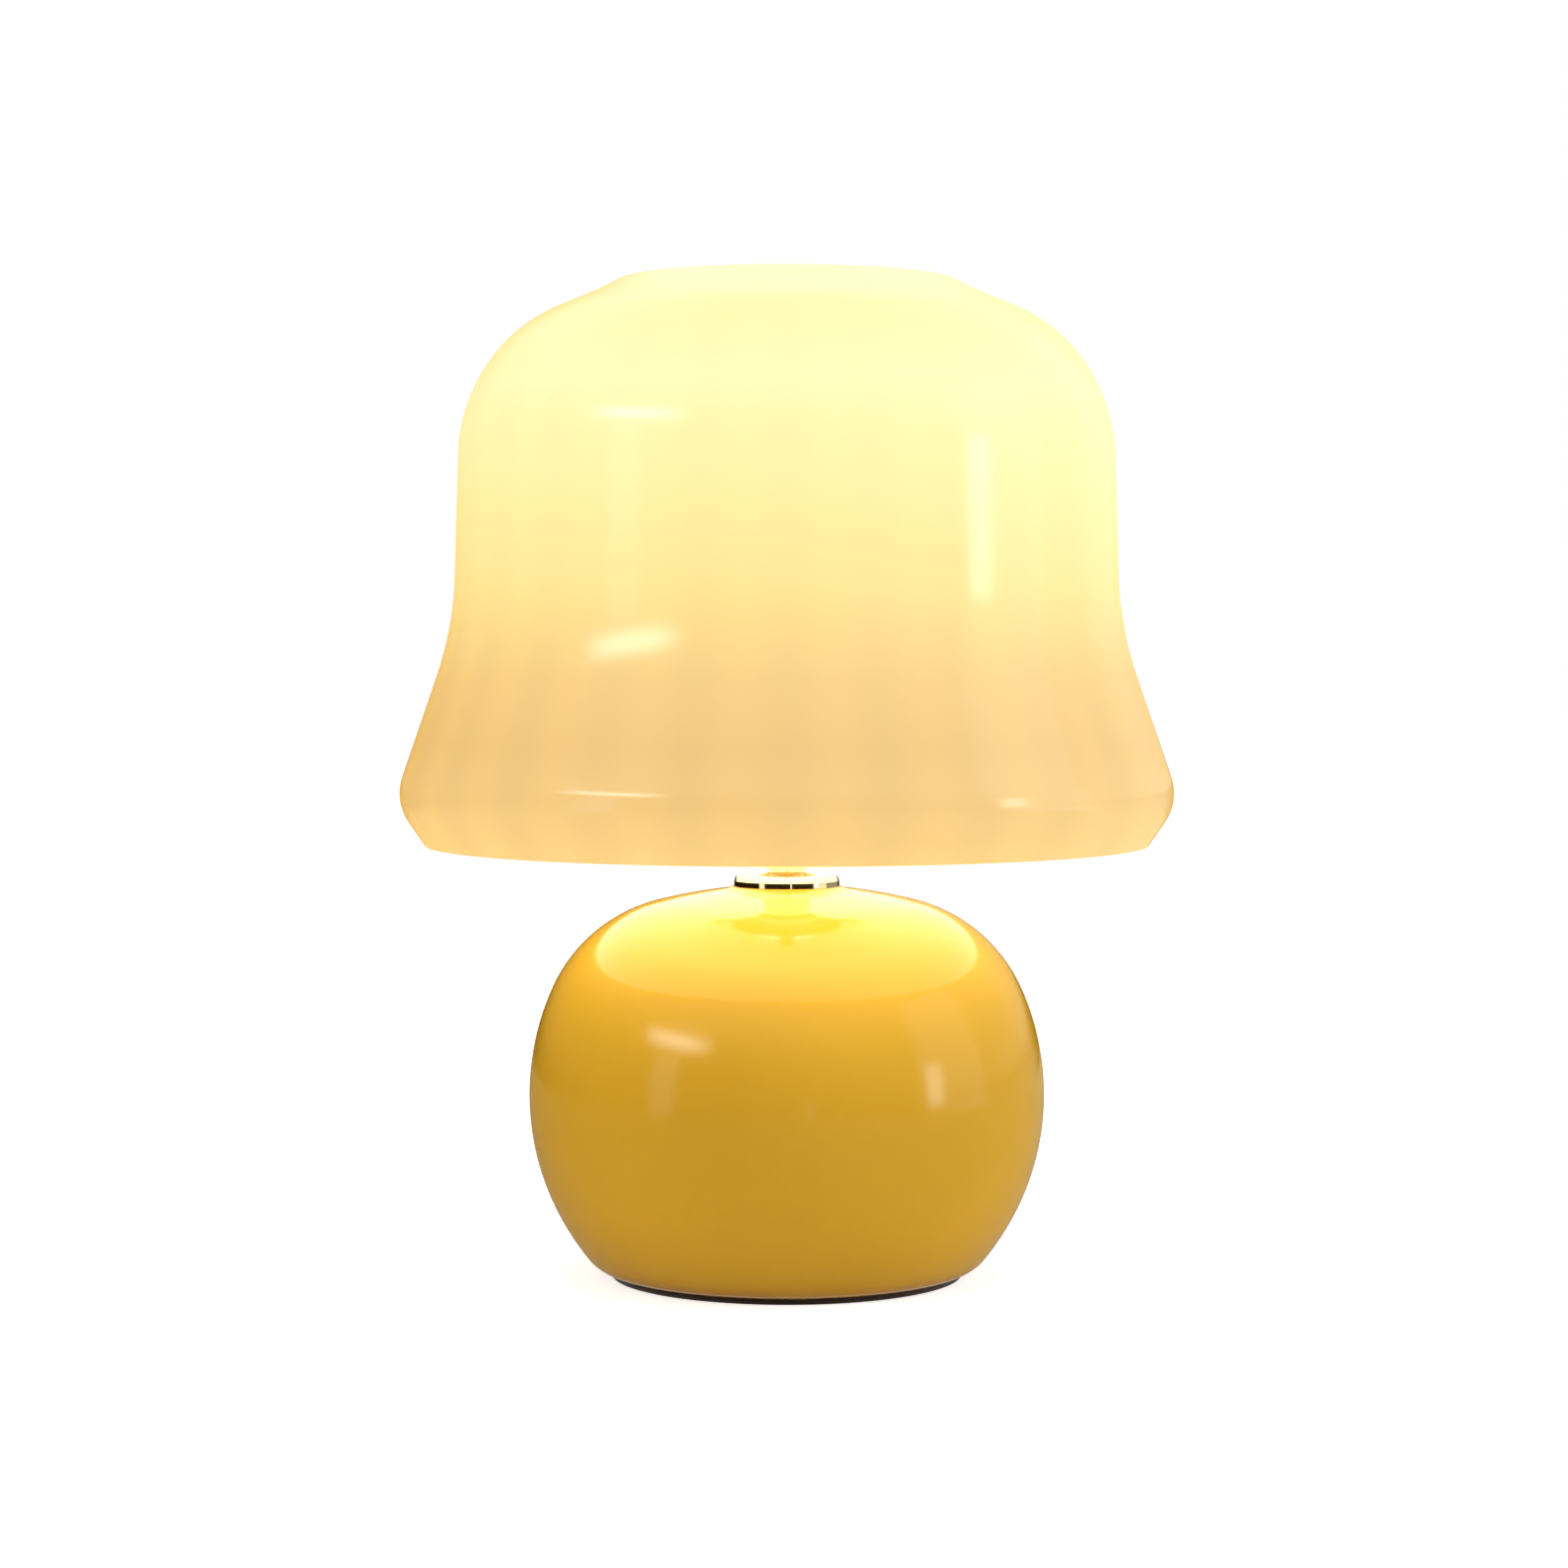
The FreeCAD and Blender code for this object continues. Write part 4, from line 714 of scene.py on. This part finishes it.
def spin(node, name, body, slot, corners, sides=128, more=(), **sweep):
    """Turns a node's piece; corners in millimetres, heights above the node's foot.

    More pieces can be joined to it. An outline may end with the point that it starts from.
    """
    outline = raised(rounded(millimetres(corners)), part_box(node)[0].z)
    if outline[0] == outline[-1]:
        outline.pop()
    piece = turned(name, outline, finishes[slot], sides, **sweep)
    return fit(joined(piece, *more) if more else piece, body, slot, node)


def inlet_place():
    """The mount of the mains inlet, and the matrix that brings the Z axis onto its axis."""
    mount = next(m for m in frame["record"]["mounts"] if m["name"] == "cord_inlet")
    turn = Vector(mount["axis"]).to_track_quat("Z", "Y").to_matrix().to_4x4()
    return mount, Matrix.Translation(mount["pos_m"]) @ turn


def base_arcs(sizes, inset):
    """Centres and radii of the base's four arcs, one inset inside the outer face."""
    near = sizes.upper_arc - sizes.shoulder_arc
    upper_x = sizes.equator_radius - sizes.upper_arc
    shoulder = (upper_x + near * math.cos(sizes.side_angle),
                sizes.equator_height + near * math.sin(sizes.side_angle))
    far = shoulder[0] / math.cos(sizes.crown_angle)
    crown_z = shoulder[1] - far * math.sin(sizes.crown_angle)
    return {
        "lower": ((sizes.equator_radius - sizes.lower_arc, sizes.equator_height),
                  sizes.lower_arc - inset),
        "upper": ((upper_x, sizes.equator_height), sizes.upper_arc - inset),
        "shoulder": (shoulder, sizes.shoulder_arc - inset),
        "crown": ((0.0, crown_z), far + sizes.shoulder_arc - inset),
    }


class LAMP_OT_ceramic_base(bpy.types.Operator):
    """Throw the round hollow base, with its foot, collar and the hole for the lead"""
    bl_idname = "lamp.ceramic_base"
    bl_label = "Ceramic base"

    def execute(self, context):
        sizes = context.scene.lamp_sizes
        low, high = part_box("base_body")
        collar, collar_edge, neck_hole, glaze_bead = 17.2 * MM, 0.4 * MM, 5.6 * MM, 0.6 * MM
        collar_foot, hole_face, dome_short = 17.7 * MM, 6.0 * MM, 0.004
        cover, cover_top, recess, floor = 45.46 * MM, 3.5 * MM, 42.46 * MM, 14.0 * MM
        floor_top, floor_hole = 19.0 * MM, 30.0 * MM
        outer, inner = base_arcs(sizes, 0.0), base_arcs(sizes, sizes.base_wall)
        centre, radius = outer["lower"]
        heel = sizes.heel_round
        drop = centre[1] - low.z - heel
        heel_x = centre[0] + math.sqrt((radius - heel) ** 2 - drop ** 2)
        meet = -math.asin(drop / (radius - heel))
        outline = [(cover, low.z)] + arc((heel_x, low.z + heel), heel, -math.pi / 2, meet)
        outline += arc(centre, radius, meet, 0.0)[1:]
        outline += arc(*outer["upper"], 0.0, sizes.side_angle)[1:]
        outline += arc(*outer["shoulder"], sizes.side_angle, sizes.crown_angle)[1:]
        meet = math.acos(collar / outer["crown"][1])
        outline += arc(*outer["crown"], sizes.crown_angle, meet - dome_short)[1:]
        outline += rounded([
            (collar_foot, outline[-1][1]), (collar, high.z, collar_edge),
            (neck_hole, high.z, glaze_bead / 2), (neck_hole, high.z - hole_face)])[1:]
        meet = math.acos(neck_hole / inner["crown"][1])
        outline += arc(*inner["crown"], meet, sizes.crown_angle)
        outline += arc(*inner["shoulder"], sizes.crown_angle, sizes.side_angle)[1:]
        outline += arc(*inner["upper"], sizes.side_angle, 0.0)[1:]
        centre, radius = inner["lower"]
        outline += arc(centre, radius, 0.0, math.asin((floor_top - centre[1]) / radius))[1:]
        outline += [
            (floor_hole, floor_top), (floor_hole, floor), (recess, floor),
            (recess, cover_top), (cover, cover_top)]
        piece = turned("ceramic_base", outline, finishes["glaze"], sides=180)
        self.drill_inlet(piece)
        fit(piece, "stand", "glaze", "base_body")
        return {"FINISHED"}

    def drill_inlet(self, piece):
        """Cuts the hole that the inlet bush passes through, square to the wall."""
        hole, depth = 5.3 * MM, 40.0 * MM
        drill = bmesh.new()
        bmesh.ops.create_cone(
            drill, cap_ends=True, segments=48, radius1=hole, radius2=hole, depth=depth)
        mount, place = inlet_place()
        drill.transform(place)
        tool = make_piece("inlet_drill", drill, finishes["glaze"])
        cut = piece.modifiers.new("inlet", "BOOLEAN")
        cut.operation = "DIFFERENCE"
        cut.solver = "EXACT"
        cut.object = tool
        settle(piece)
        bpy.data.objects.remove(tool)
        piece.data.set_sharp_from_angle(angle=SMOOTH_BELOW)


class LAMP_OT_foot_and_inlet(bpy.types.Operator):
    """Make the felt pad under the foot and the bush that the lead enters by"""
    bl_idname = "lamp.foot_and_inlet"
    bl_label = "Felt pad and inlet"

    def execute(self, context):
        radius, tall = outer_size("felt_pad")
        spin("felt_pad", "felt_foot", "stand", "felt", [
            (0.0, 0.0), (radius, 0.0, 0.5), (radius, tall, 0.3), (0.0, tall)])
        mount, place = inlet_place()
        half = mount["dims"]["length_mm"] / 2
        bore, shank, flange, thick = 3.6, 5.0, 7.5, 2.0
        bush = turned("inlet_bush_moulded", rounded(millimetres([
            (bore, -half), (shank, -half, 0.3), (shank, half - thick),
            (flange, half - thick, 0.2), (flange, half, 1.4), (bore, half, 1.0),
            (bore, 0.0)])), finishes["black_nylon"], sides=64)
        bush.data.transform(place)
        fit(bush, "stand", "black_nylon", "inlet_bush")
        return {"FINISHED"}


class LAMP_OT_brass_neck(bpy.types.Operator):
    """Spin the brass cap that closes the base and the tube that carries the lampholder"""
    bl_idname = "lamp.brass_neck"
    bl_label = "Brass neck"

    def execute(self, context):
        spin("neck_cap", "neck_cap_spun", "stand", "polished_brass", [
            (15.1, 0.0), (16.0, 0.0), (16.1, 0.1), (16.1, 1.75, 0.2), (15.45, 3.6, 2.0),
            (12.9, 5.35, 5.0), (9.0, 6.8, 3.0), (8.4, 7.0, 0.4), (5.1, 7.0), (5.1, 6.0),
            (9.0, 5.9), (12.4, 4.2), (15.1, 1.9)], sides=160)
        radius, tall = outer_size("neck_tube")
        bore = radius - 2.5
        spin("neck_tube", "neck_tube_drawn", "stand", "polished_brass", [
            (bore, 0.0), (radius, 0.0, 0.3), (radius, tall, 0.4), (bore, tall),
            (bore, tall / 2)], sides=96)
        return {"FINISHED"}


class LAMP_OT_lampholder(bpy.types.Operator):
    """Mould the lampholder's dome and threaded sleeve, and its two shade rings"""
    bl_idname = "lamp.lampholder"
    bl_label = "Lampholder"

    def execute(self, context):
        spin("holder_dome", "holder_dome_moulded", "stand", "cream_phenolic", [
            (5.1, 0.0), (9.6, 0.0, 1.0), (12.4, 1.5, 2.2), (13.5, 5.0, 3.0), (13.5, 18.4),
            (13.15, 18.6), (13.15, 19.3), (13.5, 19.5), (13.5, 20.0), (11.5, 20.0),
            (11.5, 12.0), (10.0, 12.0), (10.0, 3.0), (5.1, 3.0)])
        thread = wound_thread("holder_sleeve", "cream_phenolic", 13.0, 0.5, 2.0, 10.5, 0.9)
        spin("holder_sleeve", "holder_sleeve_core", "stand", "cream_phenolic", [
            (8.4, 0.0), (13.0, 0.0), (13.0, 22.6), (12.2, 24.0, 0.5), (9.9, 24.0, 0.4),
            (9.9, 21.5), (8.4, 21.5)], more=[thread])
        for node in ("lower_shade_ring", "upper_shade_ring"):
            grips = ring_of_grips(node, "cream_phenolic", 19.15, 36, 0.85, 2.7, 0.65)
            spin(node, f"{node}_moulded", "stand", "cream_phenolic", [
                (13.55, 0.3), (13.9, 0.0), (18.4, 0.0, 0.4), (19.3, 0.8, 0.4),
                (19.3, 3.2, 0.4), (18.4, 4.0, 0.4), (13.9, 4.0), (13.55, 3.7)], more=[grips])
        return {"FINISHED"}


class LAMP_OT_shade_carrier(bpy.types.Operator):
    """Press the carrier's hub, bend its three arms, and rivet them to hold the shade's ring"""
    bl_idname = "lamp.shade_carrier"
    bl_label = "Shade carrier"

    arm_turns = [math.radians(120 * number - 90) for number in range(3)]
    rivet_circle = 26.0 * MM

    def execute(self, context):
        bore = 13.85
        radius, thick = outer_size("carrier_hub")
        spin("carrier_hub", "carrier_hub_pressed", "stand", "carrier_steel", [
            (bore, 0.0), (radius, 0.0, 0.5), (radius, thick, 0.5), (bore, thick, 0.3),
            (bore, thick / 2)])
        self.bend_arms()
        self.set_rivets()
        self.make_ring()
        return {"FINISHED"}

    def bend_arms(self):
        """Cuts the arms from strip, each bent up at the end of the hub."""
        low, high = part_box("carrier_arm_1")
        tall, reach = high.z - low.z, -low.y
        start, width, bend, strip, edge = 22.0 * MM, 8.0 * MM, 6.0 * MM, 1.5 * MM, 0.35 * MM
        outline = raised(rounded([
            (start, 0.0), (reach, 0.0, bend), (reach, tall), (reach - strip, tall),
            (reach - strip, strip, bend - strip), (start, strip)], 9.0), low.z)
        for number, turn in enumerate(self.arm_turns, 1):
            arm = pressed(
                f"carrier_arm_bent_{number}", outline, width, finishes["carrier_steel"],
                edge, turn)
            fit(arm, "stand", "carrier_steel", f"carrier_arm_{number}")

    def set_rivets(self):
        low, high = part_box("arm_rivets")
        head, shank, thick = 2.6 * MM, 1.5 * MM, 1.2 * MM
        profile = rounded([
            (0.0, low.z), (head, low.z, 0.8 * MM), (head, low.z + thick),
            (shank, low.z + thick), (shank, high.z - thick), (head, high.z - thick),
            (head, high.z, 1.1 * MM), (0.0, high.z)])
        rivets = bmesh.new()
        for turn in self.arm_turns:
            before = len(rivets.verts)
            turn_outline(rivets, profile, 32)
            rivets.verts.ensure_lookup_table()
            way = Vector((math.cos(turn), math.sin(turn), 0.0))
            bmesh.ops.translate(
                rivets, verts=rivets.verts[before:], vec=way * self.rivet_circle)
        piece = make_piece("arm_rivets_set", rivets, finishes["carrier_steel"])
        fit(piece, "stand", "carrier_steel", "arm_rivets")

    def make_ring(self):
        """Rolls the ring that the shade rests on, and moulds the pads that grip it."""
        outer, tall = outer_size("carrier_ring")
        inner = outer - 3.0
        spin("carrier_ring", "carrier_ring_rolled", "stand", "carrier_steel", [
            (inner, tall / 2), (inner, 0.0, 0.6), (outer, 0.0, 0.6), (outer, tall, 0.6),
            (inner, tall, 0.6), (inner, tall / 2)], sides=160)
        skin, groove, sweep = 0.8, 2.0, math.radians(16.0)
        for number, turn in enumerate(self.arm_turns, 1):
            node = f"carrier_pad_{number}"
            tall = outer_size(node)[1]
            spin(node, f"{node}_moulded", "stand", "silicone", [
                (inner - skin, 0.0), (inner, 0.0), (inner, groove), (outer, groove),
                (outer, 0.0), (outer + skin, 0.0), (outer + skin, tall, 0.9),
                (inner - skin, tall, 0.9), (inner - skin, groove / 2)],
                sides=14, first=turn - sweep / 2, sweep=sweep)


# ---- bulb and shade

class LAMP_OT_bulb(bpy.types.Operator):
    """Make the small screw-in bulb: contact, insulator, threaded cap, housing and opal globe"""
    bl_idname = "lamp.bulb"
    bl_label = "Bulb"

    def execute(self, context):
        spin("bulb_contact", "bulb_contact_tinned", "bulb_foot", "tin", [
            (0.0, 0.0), (1.6, 0.0, 0.9), (2.4, 0.7, 0.4), (2.4, 1.2), (0.0, 1.2)], sides=48)
        spin("bulb_insulator", "bulb_insulator_fused", "bulb", "black_glass", [
            (0.0, 0.0), (2.8, 0.0, 0.4), (5.54, 2.7, 0.3), (5.54, 2.8), (0.0, 2.8)], sides=64)
        root, crest, tall = 6.145, 6.945, outer_size("bulb_cap")[1]
        thread = wound_thread("bulb_cap", "nickel", root, 0.8, 2.822, 4.0, 0.8)
        spin("bulb_cap", "bulb_cap_rolled", "bulb", "nickel", [
            (0.0, 0.0), (root - 0.6, 0.0), (root, 0.6, 0.3), (root, 12.8),
            (crest, 13.3, 0.4), (crest, tall, 0.3), (0.0, tall)], sides=96, more=[thread])
        radius, tall = outer_size("bulb_housing")
        wall = 1.4
        spin("bulb_housing", "bulb_housing_moulded", "bulb", "bulb_white", [
            (0.0, 0.0), (8.0, 0.0, 0.5), (8.0, 4.5, 6.0), (radius, tall - 2.4, 3.0),
            (radius, tall, 0.3), (radius - wall, tall), (radius - wall, tall - 2.0),
            (8.0 - wall, 5.5), (8.0 - wall, wall), (0.0, wall)])
        low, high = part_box("bulb_globe")
        radius, wall = high.x, 1.2 * MM
        centre = (0.0, high.z - radius)
        mouth = math.asin((low.z - centre[1]) / radius)
        inside = math.asin((low.z - centre[1]) / (radius - wall))
        outline = arc(centre, radius, mouth, math.pi / 2, 3.0)[:-1] + [(0.0, high.z)]
        outline.append((0.0, high.z - wall))
        outline += arc(centre, radius - wall, math.pi / 2, inside, 3.0)[1:]
        globe = turned("bulb_globe_blown", outline, finishes["bulb_opal"], sides=128)
        fit(globe, "bulb", "bulb_opal", "bulb_globe")
        return {"FINISHED"}


def shade_corners():
    """Corners of the shade's outside from the top's middle to the rim, with their roundings."""
    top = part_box("shade_glass")[1].z
    rise = [
        (51.0, 0.0, 3.6), (58.6, -3.9, 2.5), (84.5, -14.9, 47.5), (99.5, -40.0, 51.0),
        (101.5, -105.4, 102.0), (119.6, -158.1, 15.4), (110.6, -171.3)]
    return [(0.0, top)] + [(x * MM, top + z * MM, *(r * MM for r in more)) for x, z, *more in rise]


class LAMP_OT_glass_shade(bpy.types.Operator):
    """Blow the bell-shaped opal glass shade, with soft optic ribs on its inner wall"""
    bl_idname = "lamp.glass_shade"
    bl_label = "Glass shade"

    def execute(self, context):
        sizes = context.scene.lamp_sizes
        corners = shade_corners()
        outside = self.closer(rounded(corners, 2.0))
        inside = self.closer(rounded(parallel(corners, sizes.glass_wall), 2.0))
        outline = outside + self.lip(outside[-1], inside[-1]) + inside[::-1]
        piece = turned("glass_shade", outline, finishes["opal_glass"], sides=208)
        piece.data.materials.append(finishes["opal_glass_inside"])
        self.mark_inside(piece, inside)
        self.press_ribs(piece, sizes)
        fit(piece, "shade", "opal_glass", "shade_glass")
        return {"FINISHED"}

    def lip(self, outer, inner, steps=6):
        """Points of the half-round rim between the two walls' ends."""
        end, start = Vector(outer), Vector(inner)
        middle, way = (end + start) / 2, (end - start) / 2
        across = Vector((way.y, -way.x))
        if across.y > 0:
            across = -across
        angles = [math.pi * number / steps for number in range(1, steps)]
        return [tuple(middle + way * math.cos(a) + across * math.sin(a)) for a in angles]

    def closer(self, outline, longest=4.0 * MM):
        """Splits long runs, so that the ribs and the light change evenly along them."""
        result = [outline[0]]
        for here, there in zip(outline, outline[1:]):
            run = Vector(there) - Vector(here)
            count = max(1, math.ceil(run.length / longest))
            for number in range(1, count + 1):
                result.append(tuple(Vector(here) + run * number / count))
        return result

    def mark_inside(self, piece, inside):
        """Stores which points lie on the inner wall."""
        marks = piece.data.attributes.new("inner_wall", "FLOAT", "POINT")
        known = {(round(x, 6), round(z, 6)) for x, z in inside}
        for vertex in piece.data.vertices:
            radius = math.hypot(vertex.co.x, vertex.co.y)
            if (round(radius, 6), round(vertex.co.z, 6)) in known:
                marks.data[vertex.index].value = 1.0

    def press_ribs(self, piece, sizes):
        """Presses the optic ribs into the inner wall and gives it its own finish."""
        low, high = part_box("shade_glass")
        recipe = Recipe(
            "optic_ribs", count=sizes.rib_count, depth=sizes.rib_depth,
            fade_from=high.z - 22.0 * MM, fade_to=high.z - 55.0 * MM)
        angle, parts = recipe.axis_angle(recipe.add("GeometryNodeInputPosition"))
        height = parts.output("Z")
        inner = recipe.add(
            "GeometryNodeInputNamedAttribute", {"data_type": "FLOAT"}, {"Name": "inner_wall"})
        body = recipe.between(height, recipe.given("fade_from"), recipe.given("fade_to"))
        rim = recipe.between(height, low.z + 2.0 * MM, low.z + 9.0 * MM)
        wave = recipe.call("COSINE", recipe.given("count") * angle)
        push = recipe.given("depth") * wave * inner * body * rim
        outward = recipe.add("ShaderNodeCombineXYZ", None, {
            "X": recipe.call("SINE", angle), "Y": 0.0 - recipe.call("COSINE", angle)})
        offset = recipe.add("ShaderNodeVectorMath", {"operation": "SCALE"}, {
            0: outward, "Scale": push})
        moved = recipe.add("GeometryNodeSetPosition", None, {
            "Geometry": recipe.given("Geometry"), "Offset": offset})
        real = recipe.add("GeometryNodeRealizeInstances", None, {"Geometry": moved})
        chosen = recipe.add(
            "FunctionNodeCompare", {"data_type": "FLOAT", "operation": "GREATER_THAN"},
            {"A": inner, "B": 0.5})
        coated = recipe.coat(real, finishes["opal_glass"])
        coated = recipe.coat(coated, finishes["opal_glass_inside"], Selection=chosen)
        recipe.apply_to(piece, coated)


class LAMP_OT_inner_fittings(bpy.types.Operator):
    """Give the pipe, nuts, wiring and boards that stay as they are their finishes"""
    bl_idname = "lamp.inner_fittings"
    bl_label = "Inner fittings"

    def execute(self, context):
        slots = {row["node"]: row["material_slot"] for row in frame["record"]["subparts"]}
        for name, node in frame["nodes"].items():
            if not node.hide_render:
                node.data.materials.clear()
                node.data.materials.append(finishes[slots[name]])
        return {"FINISHED"}


# ---- stage

def softbox(name, azimuth, elevation, distance, size, strength, tone):
    """A soft light that faces the lamp; azimuth 0 is the camera's side, 90 the right."""
    turn, lift = math.radians(azimuth), math.radians(elevation)
    aim = Vector((0.0, 0.0, 0.12))
    way = Vector((
        math.sin(turn) * math.cos(lift), -math.cos(turn) * math.cos(lift), math.sin(lift)))
    data = bpy.data.lights.new(name, "AREA")
    data.shape = "RECTANGLE"
    data.size, data.size_y = size
    data.energy = strength
    data.color = tone
    light = bpy.data.objects.new(name, data)
    light.location = aim + way * distance
    light.rotation_euler = way.to_track_quat("Z", "Y").to_euler()
    light.visible_camera = light.visible_glossy = False
    bpy.context.scene.collection.objects.link(light)


class LAMP_OT_stage(bpy.types.Operator):
    """Set the camera, the pale floor, the white surroundings and the soft lights"""
    bl_idname = "lamp.stage"
    bl_label = "Stage"

    # What the gloss shows lies this far away; elevations are seen from the eye's height.
    reach, eye = 3.0, 0.10
    card_hole, card_height = 0.0545, 0.0001
    low_sky, high_sky = 14.0, 42.0

    def execute(self, context):
        scene = context.scene
        self.camera(scene)
        self.floor()
        self.surroundings(scene)
        self.reflections()
        softbox("left_softbox", -46.0, 24.0, 1.6, (0.55, 0.30), 7.5, (1.0, 0.93, 0.82))
        softbox("right_window", 78.0, 18.0, 1.8, (0.9, 0.9), 15.5, (0.97, 0.98, 1.0))
        scene.view_settings.view_transform = "Standard"
        return {"FINISHED"}

    def camera(self, scene):
        data = bpy.data.cameras.new("camera")
        data.lens = 83.68
        data.sensor_width = 36.0
        data.clip_start = 0.05
        camera = bpy.data.objects.new("camera", data)
        camera.location = (-0.00085, -1.1149, 0.1963)
        camera.rotation_euler = (math.radians(90.0 - 2.34), 0.0, 0.0)
        scene.collection.objects.link(camera)
        scene.camera = camera

    def floor(self):
        finish = Finish("pale_floor")
        half, brightness = 4.0, 0.66
        finish.set(
            Base_Color=(0.84, 0.84, 0.83), Roughness=0.9, Specular_IOR_Level=0.0,
            Emission_Color=(1.0, 1.0, 1.0), Emission_Strength=brightness * finish.seen_directly())
        mesh = bmesh.new()
        mesh.faces.new([mesh.verts.new((x * half, y * half, 0.0)) for x, y in (
            (-1, -1), (1, -1), (1, 1), (-1, 1))])
        make_piece("floor", mesh, finish.material)

    def level(self, elevation):
        """The height at which a direction, in degrees above the eye, meets the wall."""
        return self.eye + self.reach * math.tan(math.radians(elevation))

    def reflections(self):
        """The room that the gloss shows: a dim wall with a soft lamp and a curtained window."""
        level = self.level
        wall = Finish("reflected_room")
        angle, parts = wall.axis_angle(wall.place)
        azimuth, height = angle * (180.0 / math.pi), parts.output("Z")
        tone = wall.mix(
            wall.between(azimuth, -60.0, 70.0), (0.16, 0.10, 0.06), (0.42, 0.36, 0.28))
        tone = wall.mix(
            wall.between(height, level(self.low_sky), level(self.high_sky)), tone, (0.9, 0.9, 0.9))
        horizon = wall.patch(height, level(-20.0), level(1.5), 0.04)
        tone = wall.mix(0.9 * horizon, tone, (0.01, 0.006, 0.003))
        door, slit, window = self.bright_places(wall, azimuth)
        lamp = wall.patch(azimuth, -68.0, -40.0, 8.0) * wall.patch(
            height, level(21.0), level(26.5), 0.14)
        pane = wall.patch(azimuth, 64.0, 72.0, 1.5) * wall.patch(
            height, level(-8.0), level(12.0), 0.12)
        folds = wall.noise(1.0, 2.0, 0.5, wall.add(
            "ShaderNodeCombineXYZ", None, {0: azimuth * 0.35, 1: height * 0.12}))
        low_part = wall.patch(height, level(-20.0), level(18.0), 0.05)
        tall_part = wall.patch(height, level(-20.0), level(37.0), 0.10)
        light = (9.0 * lamp + 1.3 * door * low_part + 1.5 * slit * horizon
                 + (0.55 + 0.7 * folds) * window * tall_part + 10.0 * pane * folds)
        self.card(wall, tone, light, [(self.reach, 0.0), (self.reach, level(self.high_sky))])
        table = Finish("reflected_table")
        angle, across = table.axis_angle(table.place)
        door, slit, window = self.bright_places(table, angle * (180.0 / math.pi))
        away = table.add("ShaderNodeVectorMath", {"operation": "LENGTH"}, {0: table.place}, out=1)
        far = table.between(away, 0.7, 1.1)
        tone = table.mix(
            table.between(across, -0.3, 0.3), (0.34, 0.24, 0.13), (0.48, 0.40, 0.29))
        tone = table.mix(far, tone, (0.02, 0.010, 0.004))
        light = far * (1.3 * door + 1.5 * slit + 1.2 * window)
        self.card(table, tone, light, [
            (self.card_hole, self.card_height), (self.reach, self.card_height)])

    def bright_places(self, card, azimuth):
        """How much of a lit door, a slit and a window shows in each direction."""
        door = card.patch(azimuth, -62.0, -50.0, 2.0)
        slit = card.patch(azimuth, 8.0, 10.5, 0.6)
        window = card.patch(azimuth, 61.0, 97.0, 3.0) + 0.3 * card.patch(azimuth, 97.0, 148.0, 8.0)
        return door, slit, window

    def card(self, finish, tone, light, line):
        """A glowing surface turned about the axis that only reflections show."""
        glow = finish.mix(1.0, tone, finish.tint((1.0, 0.95, 0.9), light), "ADD")
        finish.set(
            Base_Color=BLACK, Specular_IOR_Level=0.0, Emission_Color=glow, Emission_Strength=1.0)
        mesh = bmesh.new()
        sides = 96
        rows = [[mesh.verts.new((radius * math.cos(math.tau * number / sides),
                                 radius * math.sin(math.tau * number / sides), height))
                 for number in range(sides)] for radius, height in line]
        for number in range(sides):
            after = (number + 1) % sides
            mesh.faces.new([rows[0][number], rows[0][after], rows[1][after], rows[1][number]])
        piece = make_piece(finish.material.name, mesh, finish.material)
        piece.visible_camera = piece.visible_diffuse = piece.visible_shadow = False
        piece.visible_transmission = False

    def surroundings(self, scene):
        world = bpy.data.worlds.new("surroundings")
        world.use_nodes = True
        kit = NodeKit(world.node_tree)
        kit.tree.nodes.clear()
        light = 0.48
        sky = kit.add("ShaderNodeBackground", None, {
            "Color": (1.0, 1.0, 1.0, 1.0),
            "Strength": light + (1.0 - light) * kit.seen_directly()})
        end = kit.tree.nodes.new("ShaderNodeOutputWorld")
        kit.tree.links.new(sky.socket, end.inputs["Surface"])
        scene.world = world


# ---- add-on

steps = (
    LAMP_OT_stage, LAMP_OT_ceramic_base, LAMP_OT_foot_and_inlet, LAMP_OT_brass_neck,
    LAMP_OT_lampholder, LAMP_OT_shade_carrier, LAMP_OT_bulb, LAMP_OT_glass_shade,
    LAMP_OT_inner_fittings)


class LAMP_PT_panel(bpy.types.Panel):
    """Sizes, colours and steps of the lamp"""
    bl_idname = "LAMP_PT_panel"
    bl_label = "Mushroom lamp"
    bl_space_type = "VIEW_3D"
    bl_region_type = "UI"
    bl_category = "Lamp"

    def draw(self, context):
        for group in (context.scene.lamp_sizes, context.scene.lamp_colours):
            for name in group.__annotations__:
                self.layout.prop(group, name)
        for step in steps:
            self.layout.operator(step.bl_idname)


classes = (LampSizes, LampColours, *steps, LAMP_PT_panel)


def register():
    for item in classes:
        bpy.utils.register_class(item)
    bpy.types.Scene.lamp_sizes = PointerProperty(type=LampSizes)
    bpy.types.Scene.lamp_colours = PointerProperty(type=LampColours)


def unregister():
    del bpy.types.Scene.lamp_sizes
    del bpy.types.Scene.lamp_colours
    for item in reversed(classes):
        bpy.utils.unregister_class(item)


def main():
    register()
    scene = bpy.context.scene
    finishes.update(make_finishes(scene.lamp_colours))
    for step in steps:
        group, name = step.bl_idname.split(".")
        getattr(getattr(bpy.ops, group), name)()


if __name__ == "__main__":
    main()
